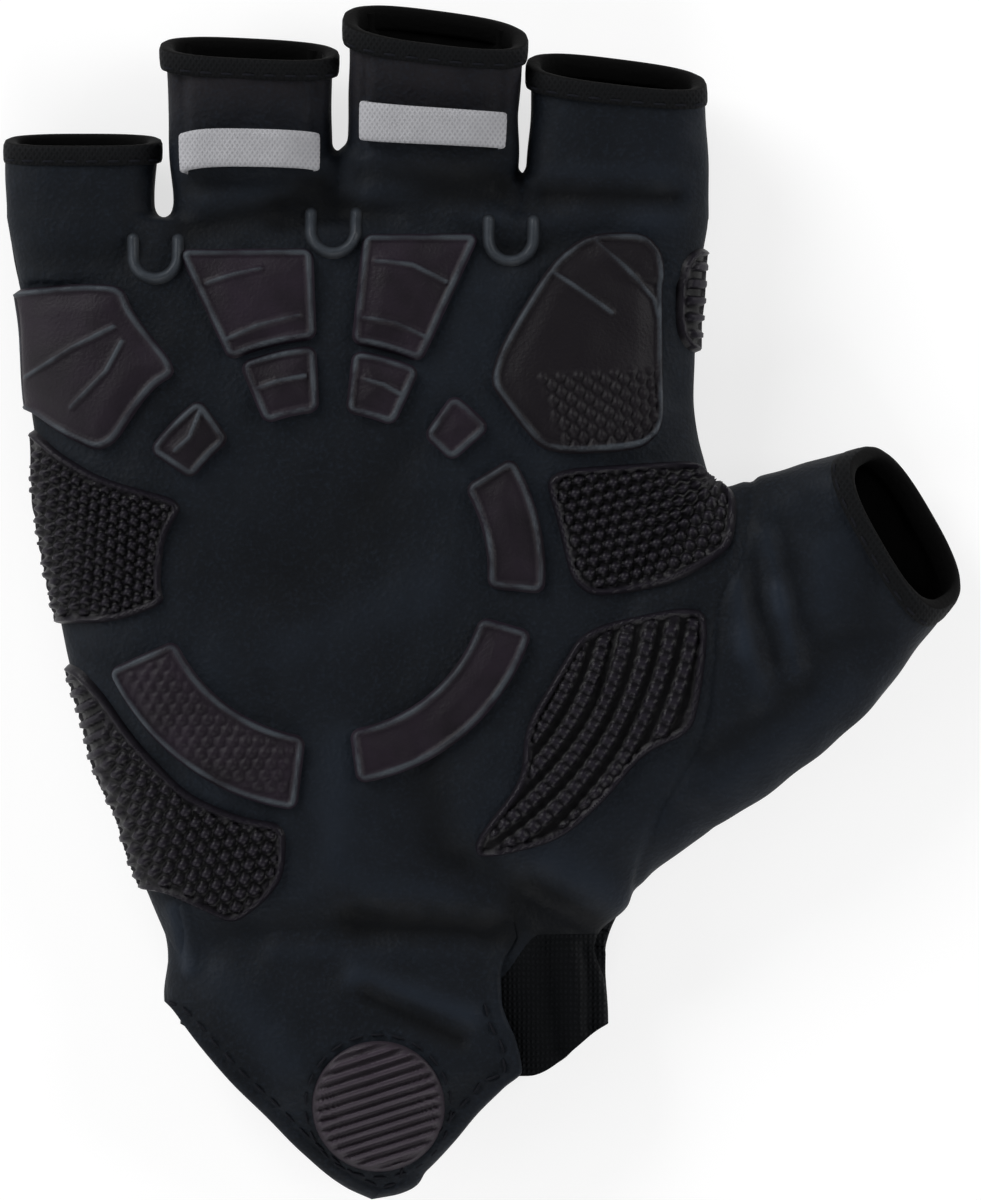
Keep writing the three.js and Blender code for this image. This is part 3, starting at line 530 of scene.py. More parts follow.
def thumb_point(turn, share, grow=0.0):
    """Points on the thumb at those turns round it and that share of its reach."""
    turn, share = np.broadcast_arrays(np.asarray(turn, float), np.asarray(share, float))
    upper, lower, depth, lift = (
        smooth_at(THUMB_SECTIONS, "along", key, share) for key in ("upper", "lower", "depth", "lift")
    )
    depth = depth * THUMB_DEPTH
    across, up = flattened(turn)
    lean = np.clip((share - THUMB_STRAIGHT) / (1 - THUMB_STRAIGHT), 0, 1)
    half = np.where(across > 0, lower, upper) * THUMB_WIDTH / 2 + grow
    along = share * THUMB_REACH - lean * up * THUMB_GAPE / 2
    plan = THUMB_START + along[..., None] * THUMB_ALONG - (across * half)[..., None] * THUMB_ACROSS
    z = lift * THUMB_RISE + depth / 2 + up * (depth / 2 + grow)
    return np.concatenate([plan, z[..., None]], -1)


# How far the solid hems stand out from the mouths
SOLID_HEM_OUT = 0.35


def frame_shift():
    """Takes these coordinates to the frame: the little hem's left side and the flap's tip are in both."""
    little_side = FINGER_MIDDLES[0] + FINGERS["drift"][0] - FINGERS["mouth"][0] / 2 - SOLID_HEM_OUT
    flap_tip = FLAP_START - FLAP_LENGTH
    return np.array([
        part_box("little_hem")[0].x / MM - little_side,
        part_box("wrist_flap")[0].y / MM - flap_tip,
        0,
    ])


SHIFT = frame_shift()


def place(points):
    """Millimetres of the hand to metres of the frame."""
    return (np.asarray(points, float).reshape(-1, 3) + SHIFT) * MM


def signed_volume(points, triangles):
    """The enclosed volume, below 0 if the triangles face inwards."""
    a, b, c = (points[triangles[:, i]] for i in range(3))
    return np.einsum("ij,ij->i", a, np.cross(b, c)).sum() / 6


def triangulated(quads):
    """Two triangles for each face with four corners."""
    return np.concatenate([quads[:, [0, 1, 2]], quads[:, [0, 2, 3]]])


def new_mesh_object(name, points, faces, looks, face_looks=None, marks=None):
    """A mesh of the frame's metres, with its faces turned outwards, smooth, and sharp only at real edges."""
    faces = np.asarray(faces)
    triangles = triangulated(faces) if faces.shape[1] == 4 else faces
    if signed_volume(points, triangles) < 0:
        faces = faces[:, ::-1]
    mesh = bpy.data.meshes.new(name)
    mesh.from_pydata(points.tolist(), [], faces.tolist())
    for look in looks:
        mesh.materials.append(look)
    if face_looks is not None:
        mesh.polygons.foreach_set("material_index", np.asarray(face_looks, np.int32))
    for mark, values in (marks or {}).items():
        attribute = mesh.attributes.new(mark, "FLOAT", "POINT")
        attribute.data.foreach_set("value", np.asarray(values, np.float32))
    mesh.polygons.foreach_set("use_smooth", np.ones(len(mesh.polygons), bool))
    mesh.set_sharp_from_angle(angle=math.radians(SHARP_ANGLE))
    mesh.update()
    piece = bpy.data.objects.new(name, mesh)
    bpy.context.scene.collection.objects.link(piece)
    return piece


def add_piece(name, points, faces, looks, slot, replaces=(), **more):
    """A finished piece, in place of the solids that it replaces."""
    piece = new_mesh_object(f"finished_{name}", place(points), faces, looks, **more)
    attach(piece, "root")
    if replaces:
        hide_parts(*replaces)
    return piece


def grid_faces(rows, columns, wrap=False):
    """Quads over points laid out in rows and columns, closed round the columns if asked."""
    r, c = np.meshgrid(np.arange(rows - 1), np.arange(columns if wrap else columns - 1), indexing="ij")
    here = (r * columns + c).ravel()
    beside = (r * columns + (c + 1) % columns).ravel()
    return np.stack([here, beside, beside + columns, here + columns], 1)


def closed_tube(rings):
    """A closed shell through rings of points: quads round it, with each end drawn in to its middle."""
    count, sides = rings.shape[:2]
    start, end = rings[0].mean(0), rings[-1].mean(0)
    points = np.concatenate([rings.reshape(-1, 3), np.repeat([start, end], sides, 0)])
    first, last = np.arange(sides), (count - 1) * sides + np.arange(sides)
    start_row, end_row = count * sides + np.arange(sides), (count + 1) * sides + np.arange(sides)
    caps = [
        np.stack([np.roll(edge, -1), edge, middle, np.roll(middle, -1)], 1)
        for edge, middle in ((first, start_row), (end_row, last))
    ]
    return points, np.concatenate([grid_faces(count, sides, wrap=True), *caps])


def joined(shells):
    """Several shells as one."""
    points, faces, start = [], [], 0
    for shell_points, shell_faces in shells:
        points.append(shell_points)
        faces.append(shell_faces + start)
        start += len(shell_points)
    return np.concatenate(points), np.concatenate(faces)


# Seams and relief

SEAM_SINK = 0.5
SEAM_HALF_WIDTH = 0.8
WAVES = table(
    ("wave_length", "turn", "start", "height"),
    (31, 0.4, 1.1, 0.14),
    (19, 1.5, 0.3, 0.12),
    (12.5, 2.3, 4, 0.08),
    (8.3, 0.9, 2.2, 0.06),
    (5.9, 2.9, 0.8, 0.04),
)
PALM_UNDER_FLAP = 7
# The palm's end comes back up beside the flap between these places across
BESIDE_FLAP = (20, 27)
FRONT_SHARE = 0.78
FRONT_SEAM_START = 9
MOUTH_TUCK = 0.5
SKIN_SIDES = 160
TUBE_SIDES = 96
TUBE_RINGS = 60
PAST_MOUTH = 4
# Neighbouring fingers are drawn in by this much, so that their slits stay open
SLIT_OPENING = 0.35
# The part past the mouth, which is cut away, is drawn in by so much more
CAP_OPENING = 2.5
# Places where tubes meet and the skin is evened out: the thumb's crotch and the ends of the three slits
EVENED = table(
    ("x", "y", "reach", "rounds"),
    (50, 58, 17, 70),
    (-26.5, 107, 6, 16),
    (-2.7, 107.5, 6, 16),
    (24.3, 107.5, 6, 16),
)
SMOOTHINGS = 8
# Folds and seams fade out over these heights, towards the back
FADE_HEIGHTS = (1, 5)
# The inner wall follows normals that are evened out, so that it never comes through the outer one
NORMAL_SMOOTHINGS = 14
TAUBIN = (0.5, -0.52)


def thumb_seam_x(y):
    """Where the seam between palm and thumb runs."""
    return smooth_at(THUMB_SEAM, "along", "across", y / PALM_LENGTH) * KNUCKLE_BREADTH


def along_thumb(points):
    """How far points lie along the thumb from its start."""
    return (points[:, :2] - THUMB_START) @ THUMB_ALONG


def finger_lane(points):
    """Which finger's share of the glove's width each point lies in."""
    above = np.clip((points[:, 1:2] - PALM_LENGTH) / FINGERS["reach"], 0, 1)
    middle = FINGER_MIDDLES + FINGERS["drift"] * above
    half = (FINGERS["width"] + (FINGERS["mouth"] - FINGERS["width"]) * above**2) / 2
    slits = ((middle + half)[:, :-1] + (middle - half)[:, 1:]) / 2
    return (points[:, :1] > slits).sum(1)


def past_finger_mouths(points):
    """How far points lie past the plane of their finger's mouth."""
    lane = finger_lane(points)
    f = {key: column[lane] for key, column in FINGERS.items()}
    depth = FINGER_MOUTH_DEPTH / 2
    up = (points[:, 2] - depth - FINGER_LIFT - f["rise"]) / depth
    across = (points[:, 0] - FINGER_MIDDLES[lane] - f["drift"]) / (f["mouth"] / 2)
    mouth = PALM_LENGTH + f["reach"] - (up * f["gape"] + across * f["skew"]) / 2
    return points[:, 1] - mouth + MOUTH_TUCK


def past_thumb_mouth(points):
    """How far points lie past the thumb's mouth."""
    up = (points[:, 2] - THUMB_RISE) / (THUMB_DEPTH / 2) - 1
    along = along_thumb(points)
    past = along - THUMB_REACH + up * THUMB_GAPE / 2 + MOUTH_TUCK
    on_thumb = (along > THUMB_REACH / 2) & (points[:, 1] < PALM_LENGTH * THUMB_TOP)
    return np.where(on_thumb, past, -THUMB_REACH)


def past_cuff_edge(points):
    """How far points lie past the band's seam, towards the wrist."""
    edge = smooth_at(CUFF_EDGE, "across", "along", points[:, 0] / KNUCKLE_BREADTH) * CUFF_LENGTH
    return -edge - points[:, 1]


def past_front(points):
    """Positive on the sides of the ring and middle fingers, past the seams of their fronts."""
    lane = finger_lane(points)
    lean = np.clip((points[:, 1] - PALM_LENGTH) / FINGERS["reach"][lane], 0, 1)
    middle = FINGER_MIDDLES[lane] + FINGERS["drift"][lane] * lean
    half = (FINGERS["width"] + (FINGERS["mouth"] - FINGERS["width"]) * lean[:, None] ** 2)[
        np.arange(len(points)), lane
    ] / 2
    across = np.abs(points[:, 0] - middle) - FRONT_SHARE * half
    has_seams = (lane == FINGER_NAMES.index("ring")) | (lane == FINGER_NAMES.index("middle"))
    return np.where(has_seams & (points[:, 1] > PALM_LENGTH + FRONT_SEAM_START), across, -half)


def past_parting(points):
    """How far points lie below the line between palm and back."""
    return PARTING_HEIGHT - points[:, 2]


def past_thumb_seam(points):
    """How far points lie past the thumb's seam."""
    return points[:, 0] - thumb_seam_x(points[:, 1])


def past_knuckles(points):
    """How far points lie past the knuckles."""
    return points[:, 1] - PALM_LENGTH


def past_palm_end(points):
    """Past the palm's lower end, which reaches further down under the flap than beside it."""
    end = PALM_END - PALM_UNDER_FLAP * (1 - smooth_step(*BESIDE_FLAP, points[:, 0]))
    return end - points[:, 1]


def waviness(points):
    """A gentle unevenness that leather and cloth share."""
    total = np.zeros(points.shape[:-1])
    for wave_length, turn, start, height in zip(*WAVES.values()):
        run = points[..., 0] * math.cos(turn) + points[..., 1] * math.sin(turn)
        total += height * np.sin(2 * math.pi * run / wave_length + start)
    return total


def segment_distance(plan, start, end):
    """How far points lie from a straight line between two others, in plan."""
    way = end - start
    share = np.clip((plan - start) @ way / (way @ way), 0, 1)
    return np.linalg.norm(plan - start - share[..., None] * way, axis=-1)


def fold_height(points, folds):
    """The folds' and dents' height at each point."""
    total = np.zeros(points.shape[:-1])
    for from_across, from_along, to_across, to_along, width, height in zip(*folds.values()):
        start, end = on_palm(from_across, from_along), on_palm(to_across, to_along)
        distance = segment_distance(points[..., :2], start, end)
        total += height * np.exp(-((distance / width) ** 2))
    return total


def vertex_normals(points, triangles):
    """Each point's normal, from the triangles round it."""
    a, b, c = (points[triangles[:, i]] for i in range(3))
    faces = np.cross(b - a, c - a)
    total = np.stack([
        np.bincount(triangles.ravel(), np.repeat(faces[:, axis], 3), len(points)) for axis in range(3)
    ], 1)
    return total / np.maximum(np.linalg.norm(total, axis=1, keepdims=True), 1e-12)


def neighbours(faces):
    """Every edge both ways round, as pairs of points."""
    edges = np.unique(np.sort(np.concatenate([
        faces[:, [i, (i + 1) % faces.shape[1]]] for i in range(faces.shape[1])
    ]), axis=1), axis=0)
    return np.concatenate([edges, edges[:, ::-1]])


def drawn_in(values, ends, share):
    """Moves each point's values that share of the way to the middle of its neighbours'."""
    counts = np.maximum(np.bincount(ends[:, 0], minlength=len(values)), 1)[:, None]
    sums = np.stack([np.bincount(ends[:, 0], values[ends[:, 1], axis], len(values)) for axis in range(3)], 1)
    return values + share * (sums / counts - values)


def smoothed(points, faces):
    """Evens out a mesh without shrinking it, and then the creases where its tubes meet."""
    ends = neighbours(faces)
    for step in range(SMOOTHINGS):
        points = drawn_in(points, ends, TAUBIN[step % 2])
    for x, y, reach, rounds in zip(*EVENED.values()):
        distance = np.linalg.norm(points[:, :2] - (x, y), axis=1)
        share = smooth_step(-reach, -reach / 2, -distance) * smooth_step(6, 9, points[:, 2])
        near = ends[share[ends[:, 0]] > 0]
        for _ in range(int(rounds)):
            points = drawn_in(points, near, share[:, None] / 2)
    return points


def remeshed(points, faces):
    """The outer surface of overlapping shells, on an even grid."""
    mesh = bpy.data.meshes.new("shells")
    mesh.from_pydata(points.tolist(), [], faces.tolist())
    shells = bpy.data.objects.new("shells", mesh)
    bpy.context.scene.collection.objects.link(shells)
    remesh = shells.modifiers.new("Even grid", "REMESH")
    remesh.mode = "VOXEL"
    remesh.voxel_size = sizes().voxel / MM
    graph = bpy.context.evaluated_depsgraph_get()
    result = bpy.data.meshes.new_from_object(shells.evaluated_get(graph))
    even = np.empty(len(result.vertices) * 3)
    result.vertices.foreach_get("co", even)
    corners = np.empty(len(result.loops), np.int32)
    result.loops.foreach_get("vertex_index", corners)
    bpy.data.objects.remove(shells)
    bpy.data.meshes.remove(mesh)
    bpy.data.meshes.remove(result)
    return even.reshape(-1, 3), corners.reshape(-1, 4)


def cut_along(points, normals, triangles, field):
    """Splits the triangles that the field's zero line crosses."""
    values = field(points)
    values = np.where(np.abs(values) < 1e-4, 1e-4, values)
    above = values[triangles] > 0
    count = above.sum(1)
    mixed = (count == 1) | (count == 2)
    split, sides = triangles[mixed], above[mixed]
    alone = np.argmax(sides == (count[mixed] == 1)[:, None], axis=1)
    rows = np.arange(len(split))
    a, b, c = (split[rows, (alone + i) % 3] for i in range(3))
    crossed = np.sort(np.concatenate([np.stack([a, b], 1), np.stack([a, c], 1)]), axis=1)
    edges, crossing = np.unique(crossed, axis=0, return_inverse=True)
    crossing = crossing.ravel() + len(points)
    share = (values[edges[:, 0]] / (values[edges[:, 0]] - values[edges[:, 1]]))[:, None]
    points, normals = (
        np.concatenate([both, both[edges[:, 0]] * (1 - share) + both[edges[:, 1]] * share])
        for both in (points, normals)
    )
    p, q = crossing[: len(split)], crossing[len(split) :]
    made = [np.stack(corners, 1) for corners in ((a, p, q), (p, b, c), (p, c, q))]
    return points, normals, np.concatenate([triangles[~mixed], *made])


def glove_shells():
    """The body, the four fingers and the thumb as closed tubes that overlap, past every mouth."""
    turns = np.linspace(0, 2 * math.pi, SKIN_SIDES, endpoint=False)
    body_y = np.arange(BODY_ROWS["y"][0], PALM_LENGTH + 0.5, 1)
    shells = [closed_tube(body_point(turns, body_y[:, None]))]
    turns = np.linspace(0, 2 * math.pi, TUBE_SIDES, endpoint=False)
    across = flattened(turns)[0]
    for index, reach in enumerate(FINGERS["reach"]):
        above = np.linspace(-FINGER_ROOT_LENGTH, reach + PAST_MOUTH, TUBE_RINGS)
        tube = finger_point(index, turns, above[:, None])
        facing = np.where(across > 0, index + 1 < len(FINGER_NAMES), index > 0)
        past_mouth = smooth_step(0, PAST_MOUTH, above - reach)[:, None]
        tube[..., 0] -= (SLIT_OPENING + CAP_OPENING * past_mouth) * across * facing
        shells.append(closed_tube(tube))
    share = np.linspace(THUMB_SECTIONS["along"][0], 1 + PAST_MOUTH / THUMB_REACH, TUBE_RINGS)
    shells.append(closed_tube(thumb_point(turns, share[:, None])))
    return joined(shells)


@functools.cache
def skin():
    """The glove's outer surface, folded and dented, with its normals, which all pieces on it share."""
    points, quads = remeshed(*glove_shells())
    points = smoothed(points, quads)
    triangles = triangulated(quads)
    if signed_volume(points, triangles) < 0:
        triangles = triangles[:, ::-1]
    normals = vertex_normals(points, triangles)
    height = waviness(points) + np.where(normals[:, 2] > 0, fold_height(points, FOLDS), 0)
    on_body = (points[:, 1] < PALM_LENGTH) & (points[:, 1] > 0)
    for field in (past_thumb_seam, past_parting, past_front):
        line = np.exp(-((field(points) / SEAM_HALF_WIDTH) ** 2))
        height -= SEAM_SINK * np.where(on_body | (field is past_front), line, 0)
    height *= smooth_step(*FADE_HEIGHTS, points[:, 2])
    points = points + normals * height[:, None]
    normals = vertex_normals(points, triangles)
    ends = neighbours(triangles)
    for _ in range(NORMAL_SMOOTHINGS):
        normals = drawn_in(normals, ends, 0.5)
    return points, normals / np.linalg.norm(normals, axis=1, keepdims=True), triangles


PALM_FACE = {"x": (-72, 72), "y": (2, PALM_LENGTH + 3)}
FINE_STEPS = 400
# Rays start this far off the smooth form and search this far
RAY_START, RAY_REACH = 5, 9


@functools.cache
def palm_grid():
    """A fine grid over the palm's face: its places in plan, on the skin, and its way outwards."""
    step = sizes().grid / MM
    across, y = np.arange(*PALM_FACE["x"], step), np.arange(*PALM_FACE["y"], step)
    turns = np.linspace(math.pi, 0, FINE_STEPS)
    rows = body_point(turns, y[:, None])
    lengths = np.concatenate([
        np.zeros((len(y), 1)), np.cumsum(np.linalg.norm(np.diff(rows, axis=1), axis=2), axis=1)
    ], axis=1)
    turn = np.empty((len(y), len(across)))
    inside = np.empty_like(turn, bool)
    for i, length in enumerate(lengths):
        length = length - np.interp(0, rows[i, :, 0], length)
        turn[i] = np.interp(across, length, turns)
        inside[i] = (across > length[0]) & (across < length[-1])
    plan = body_point(turn, y[:, None])
    normals = np.cross(np.gradient(plan, axis=1), np.gradient(plan, axis=0))
    normals /= np.maximum(np.linalg.norm(normals, axis=2, keepdims=True), 1e-9)
    points, _, triangles = skin()
    tree = BVHTree.FromPolygons(points.tolist(), triangles.tolist())
    found = np.full(plan.shape, np.nan)
    for i, j in np.argwhere(inside & (plan[..., 2] > PARTING_HEIGHT - 0.3)):
        way = Vector(normals[i, j])
        hit = tree.ray_cast(Vector(plan[i, j]) + way * RAY_START, -way, RAY_REACH)[0]
        if hit is not None:
            found[i, j] = hit
    return plan, found, normals


THUMB_SIDE = {"x": (12, 66), "y": (8, 78)}
# Slopes count as no steeper than this for the way outwards
STEEPEST = 2.2


@functools.cache
def thumb_side_grid():
    """A grid seen straight from above, where palm and thumb meet."""
    step = sizes().grid / MM
    y, x = np.meshgrid(
        np.arange(*THUMB_SIDE["y"], step), np.arange(*THUMB_SIDE["x"], step), indexing="ij"
    )
    points, _, triangles = skin()
    tree = BVHTree.FromPolygons(points.tolist(), triangles.tolist())
    found = np.full((*x.shape, 3), np.nan)
    above, down = PALM_DEPTH * 2, Vector((0, 0, -1))
    for i, j in np.ndindex(x.shape):
        hit = tree.ray_cast(Vector((x[i, j], y[i, j], above)), down)[0]
        if hit is not None:
            found[i, j] = hit
    height = np.nan_to_num(found[..., 2])
    slope_y, slope_x = (np.clip(slope / step, -STEEPEST, STEEPEST) for slope in np.gradient(height))
    normals = np.stack([-slope_x, -slope_y, np.ones_like(height)], -1)
    normals /= np.linalg.norm(normals, axis=2, keepdims=True)
    return np.stack([x, y, height], -1), found, normals


CORNER_CUT = 0.2
CORNER_ROUNDS = 3


def rounded_outline(shares):
    """An outline with its corners cut off again and again, in millimetres."""
    corners = np.array(shares) * (KNUCKLE_BREADTH, PALM_LENGTH)
    for _ in range(CORNER_ROUNDS):
        way = np.roll(corners, -1, axis=0) - corners
        corners = np.stack([corners + way * CORNER_CUT, corners + way * (1 - CORNER_CUT)], 1).reshape(-1, 2)
    return corners


def inside_distance(plan, outline):
    """How far points lie inside an outline, less than nothing outside it."""
    nearest = np.full(plan.shape[:-1], np.inf)
    inside = np.zeros(plan.shape[:-1], bool)
    for start, end in zip(outline, np.roll(outline, -1, axis=0)):
        nearest = np.minimum(nearest, segment_distance(plan, start, end))
        spans = (start[1] > plan[..., 1]) != (end[1] > plan[..., 1])
        slope = (end[0] - start[0]) / (end[1] - start[1] if end[1] != start[1] else 1e-9)
        inside ^= spans & (plan[..., 0] < start[0] + (plan[..., 1] - start[1]) * slope)
    return np.where(inside, nearest, -nearest)


def disc_polar(plan):
    """Distance and angle round the palm's flat disc, the angle from the thumb's side."""
    way = plan - on_palm(*DISC_CENTRE)
    return np.linalg.norm(way, axis=-1), np.arctan2(way[..., 1], way[..., 0])


CELL_CORNER = 1.6
# The base cells end in a straight line, at this share of the way from the disc's centre to the knuckles
BASE_ENDS = {"middle_base_cell": 0.957, "ring_base_cell": 0.914}


def cell_distance(plan, name):
    """How far points lie inside a cell round the disc, whose corners are rounded."""
    start, end, inner, outer = CELLS[name]
    middle, half = math.radians(start + end) / 2, math.radians(end - start) / 2
    radius, angle = disc_polar(plan)
    turned = (angle - middle + math.pi) % (2 * math.pi) - math.pi
    sideways = np.abs(turned) * radius - half * radius
    ring = np.abs(radius - (inner + outer) / 2 * DISC_RADIUS) - (outer - inner) / 2 * DISC_RADIUS
    if name in BASE_ENDS:
        centre = on_palm(*DISC_CENTRE)[1]
        end_line = centre + (PALM_LENGTH - centre) * BASE_ENDS[name]
        ring = np.maximum(ring, plan[..., 1] - end_line)
    corner = np.hypot(np.maximum(sideways + CELL_CORNER, 0), np.maximum(ring + CELL_CORNER, 0))
    inner_part = np.minimum(np.maximum(sideways + CELL_CORNER, ring + CELL_CORNER), 0)
    return -(corner + inner_part - CELL_CORNER)


PARTING_CLEARANCE = 0.5
# The skin is steep at the sides, where height counts for more than the way along it in plan
SIDE_STEEPNESS = 1.5


def above_parting(plan):
    """Keeps the pads that wrap round the side clear of the parting."""
    return (plan[..., 2] - PARTING_HEIGHT - PARTING_CLEARANCE) * SIDE_STEEPNESS


def bump(distance, half_width):
    """A rounded ridge along a line."""
    share = np.clip(distance / half_width, -1, 1)
    return (1 - share**2) ** 2


# A pad starts this deep in the skin, rises over this span of its edge, and ends this far below the skin
BURIED = 0.45
EDGE_SOFTNESS = (-0.4, 0.75)
BOTTOM = -0.8


def relief_shape(inside, height, ridge, grid=palm_grid):
    """A closed shape on the skin wherever inside is more than nothing, of that height."""
    _, found, normals = grid()
    used = (inside > -BURIED) & np.isfinite(found[..., 0])
    quads = used[:-1, :-1] & used[:-1, 1:] & used[1:, 1:] & used[1:, :-1]
    rows, columns = used.shape
    faces = grid_faces(rows, columns)[quads.ravel()]
    kept, faces = np.unique(faces, return_inverse=True)
    faces = faces.reshape(-1, 4)
    base, way = found.reshape(-1, 3)[kept], normals.reshape(-1, 3)[kept]
    rise = (-BURIED + (height + BURIED) * smooth_step(*EDGE_SOFTNESS, inside)).ravel()[kept]
    top, bottom = base + way * rise[:, None], base + way * BOTTOM
    points, faces = closed_sheet(top, bottom, faces)
    return points, faces, np.tile(ridge.ravel()[kept], 2)


def boundary_edges(faces):
    """The edges that only one face has, in that face's direction."""
    edges = np.concatenate([faces[:, [i, (i + 1) % faces.shape[1]]] for i in range(faces.shape[1])])
    keys = np.sort(edges, axis=1)
    _, where, count = np.unique(keys, axis=0, return_inverse=True, return_counts=True)
    return edges[count[where.ravel()] == 1]


def closed_sheet(top, bottom, faces):
    """A sheet with thickness: its top, its bottom turned over, and its rim."""
    rim = boundary_edges(faces)
    size = len(top)
    over = faces[:, ::-1] + size
    walls = np.stack([rim[:, 1], rim[:, 0], rim[:, 0] + size, rim[:, 1] + size], 1)
    return np.concatenate([top, bottom]), np.concatenate([faces, over, walls])


def panel_shape(points, normals, triangles, thickness):
    """One panel of the skin with its inner wall, as triangles with which of them are outside."""
    kept, triangles = np.unique(triangles, return_inverse=True)
    triangles = triangles.reshape(-1, 3)
    outer, inner = points[kept], points[kept] - normals[kept] * thickness
    rim, size = boundary_edges(triangles), len(kept)
    walls = np.concatenate([
        np.stack([rim[:, 1], rim[:, 0], rim[:, 0] + size], 1),
        np.stack([rim[:, 1], rim[:, 0] + size, rim[:, 1] + size], 1),
    ])
    faces = np.concatenate([triangles, triangles[:, ::-1] + size, walls])
    return np.concatenate([outer, inner]), faces, len(triangles)


# Pieces

def skin_panels():
    """The skin cut into the glove's panels: for each name its triangles, on shared points."""
    points, normals, triangles = skin()
    for field in (
        past_finger_mouths, past_thumb_mouth, past_cuff_edge, past_palm_end,
        past_knuckles, past_thumb_seam, past_parting,
    ):
        points, normals, triangles = cut_along(points, normals, triangles, field)
    middle = points[triangles].mean(1)
    gone = (past_finger_mouths(middle) > 0) & (middle[:, 1] > PALM_LENGTH)
    gone |= (past_thumb_mouth(middle) > 0) | (past_cuff_edge(middle) > 0)
    names = np.full(len(triangles), "palm_panel", dtype=object)
    names[past_parting(middle) > 0] = "back_panel"
    names[past_thumb_seam(middle) > 0] = "thumb_stall"
    names[past_palm_end(middle) > 0] = "cuff_band"
    fingers = past_knuckles(middle) > 0
    names[fingers] = np.array([f"{name}_stall" for name in FINGER_NAMES])[finger_lane(middle[fingers])]
    knitted = past_parting(middle) > 0
    return points, normals, triangles, names, gone, knitted


def build_shell():
    """The leather palm, the knitted back, the cuff, and the stalls of fingers and thumb, on a new skin."""
    for made in (skin, palm_grid, thumb_side_grid):
        made.cache_clear()
    points, normals, triangles, names, gone, knitted = skin_panels()
    knit, lining = look("knit"), look("lining")
    stalls = [f"{finger}_stall" for finger in FINGER_NAMES]
    for name in ("palm_panel", "back_panel", "thumb_stall", "cuff_band", *stalls):
        own = (names == name) & ~gone
        is_knit = name in ("back_panel", "cuff_band")
        leather = look("worn palm") if name in ("ring_stall", "middle_stall") else look("palm")
        shape, faces, outer = panel_shape(points, normals, triangles[own], sizes().skin / MM)
        # The inner wall and its rims take the lining look, painted near black for the shade inside the glove
        face_looks = np.full(len(faces), 2)
        face_looks[:outer] = 1 if is_knit else knitted[own]
        # The crease mark, the folds' height, paints shade into the suede's dents and a highlight onto its
        # rises
        add_piece(
            name, shape, faces, (leather, knit, lining), "knit" if is_knit else "palm_leather",
            replaces=(name,), face_looks=face_looks, marks={"crease": fold_height(shape, FOLDS)},
        )


# A hem's section: how far back from the mouth, and how far out from the skin, in millimetres
HEM_SECTION = np.array([
    (3.2, 0), (3.1, 0.3), (2.7, 0.42), (1.6, 0.46), (0.6, 0.42), (0.1, 0.2), (-0.1, -0.3), (-0.1, -0.9),
    (0.1, -1.5), (0.6, -1.85), (1.6, -1.95), (2.7, -1.9), (3.1, -1.8), (3.2, -1.5), (3, -0.8),
])
# What is less far out than this lies in the mouth, and takes the lining look, painted near black for the shade
# there
HEM_OUTSIDE = 0.25
HEM_SIDES = 144


def hem_point(name, turn, back, grow):
    """A point on the hem of that finger, or of the thumb, so far back from its mouth."""
    if name == "thumb":
        return thumb_point(turn, 1 - back / THUMB_REACH, grow)
    index = FINGER_NAMES.index(name)
    return finger_point(index, turn, FINGERS["reach"][index] - back, grow)


def closed_ring(rings):
    """A ring-shaped piece through sections laid out in rows, joined last to first."""
    rows, columns = rings.shape[:2]
    faces = grid_faces(rows + 1, columns, wrap=True) % (rows * columns)
    return rings.reshape(-1, 3), faces


def build_hems():
    """The bindings that are folded round the mouths."""
    turns = np.linspace(0, 2 * math.pi, HEM_SIDES, endpoint=False)
    for name in (*FINGER_NAMES, "thumb"):
        back, grow = HEM_SECTION.T
        rings = hem_point(name, turns, back[:, None], grow[:, None])
        points, faces = closed_ring(rings)
        # The hem's inner faces take the lining look: painted shade in the mouth
        inner = np.repeat((grow < HEM_OUTSIDE) & (np.roll(grow, -1) < HEM_OUTSIDE), len(turns))
        add_piece(
            f"{name}_hem", points, faces, (look("binding"), look("lining")), "binding",
            replaces=(f"{name}_hem",), face_looks=inner,
        )


FLAP_ROWS = flap_form_rows()
FLAP_UNDER = JOINT_GAP
FLAP_OVER = FLAP_UNDER + FLAP_THICKNESS
# It starts this share of its length before its seam, inside the palm, and ends just short of its tip
FLAP_BURIED = -0.13
FLAP_LAST = 0.9995
# The flap wraps round the wrist's side between these shares of its length
FLAP_WRAP_END = 0.26
FLAP_WRAP_START = 0.02
FLAP_GRID = 130
# Rows crowd towards the tip
FLAP_CROWDING = 1.25
FLAP_EDGE_ROUND = 1
# Its unevenness fades in over this way from its edge
FLAP_EDGE_CALM = 2
# The thickness starts to rise this far before the seam
FLAP_SEWN_BEFORE = 1.5
# The flap lies flush with the palm where it is sewn on, and is full thick this far from there
FLAP_SEWN = 9
FLAP_SINK = 0.5
FLAP_PIPING = table(("inset", "half_width", "height"), (1.5, 1.2, 0.3))


def flap_turn(x, y, grow):
    """The turn at which the form under the flap has that x."""
    left, right = (smooth_at(FLAP_ROWS, "y", key, y) for key in ("left", "right"))
    across = np.clip((x - (left + right) / 2) / ((right - left) / 2 + grow), -1, 1)
    return np.arccos(np.sign(across) * np.abs(across) ** (1 / SIDE_POWER))


def flap_creases(points):
    """The height of the flap's folds, its own and the skin's."""
    return fold_height(points, FLAP_FOLDS) + fold_height(points, FOLDS)


def flap_surface(x, y, lift=0.0):
    """A point on the flap's upper face, with its unevenness."""
    plain = body_point(flap_turn(x, y, FLAP_OVER), y, FLAP_OVER + lift, FLAP_ROWS)
    plain[..., 2] += waviness(plain) + flap_creases(plain)
    return plain


def rounded_edge(inset, radius):
    """The share of its height that a sheet with a round edge has that far from the edge."""
    return np.sqrt(1 - (1 - np.clip(inset / radius, 0.02, 1)) ** 2)


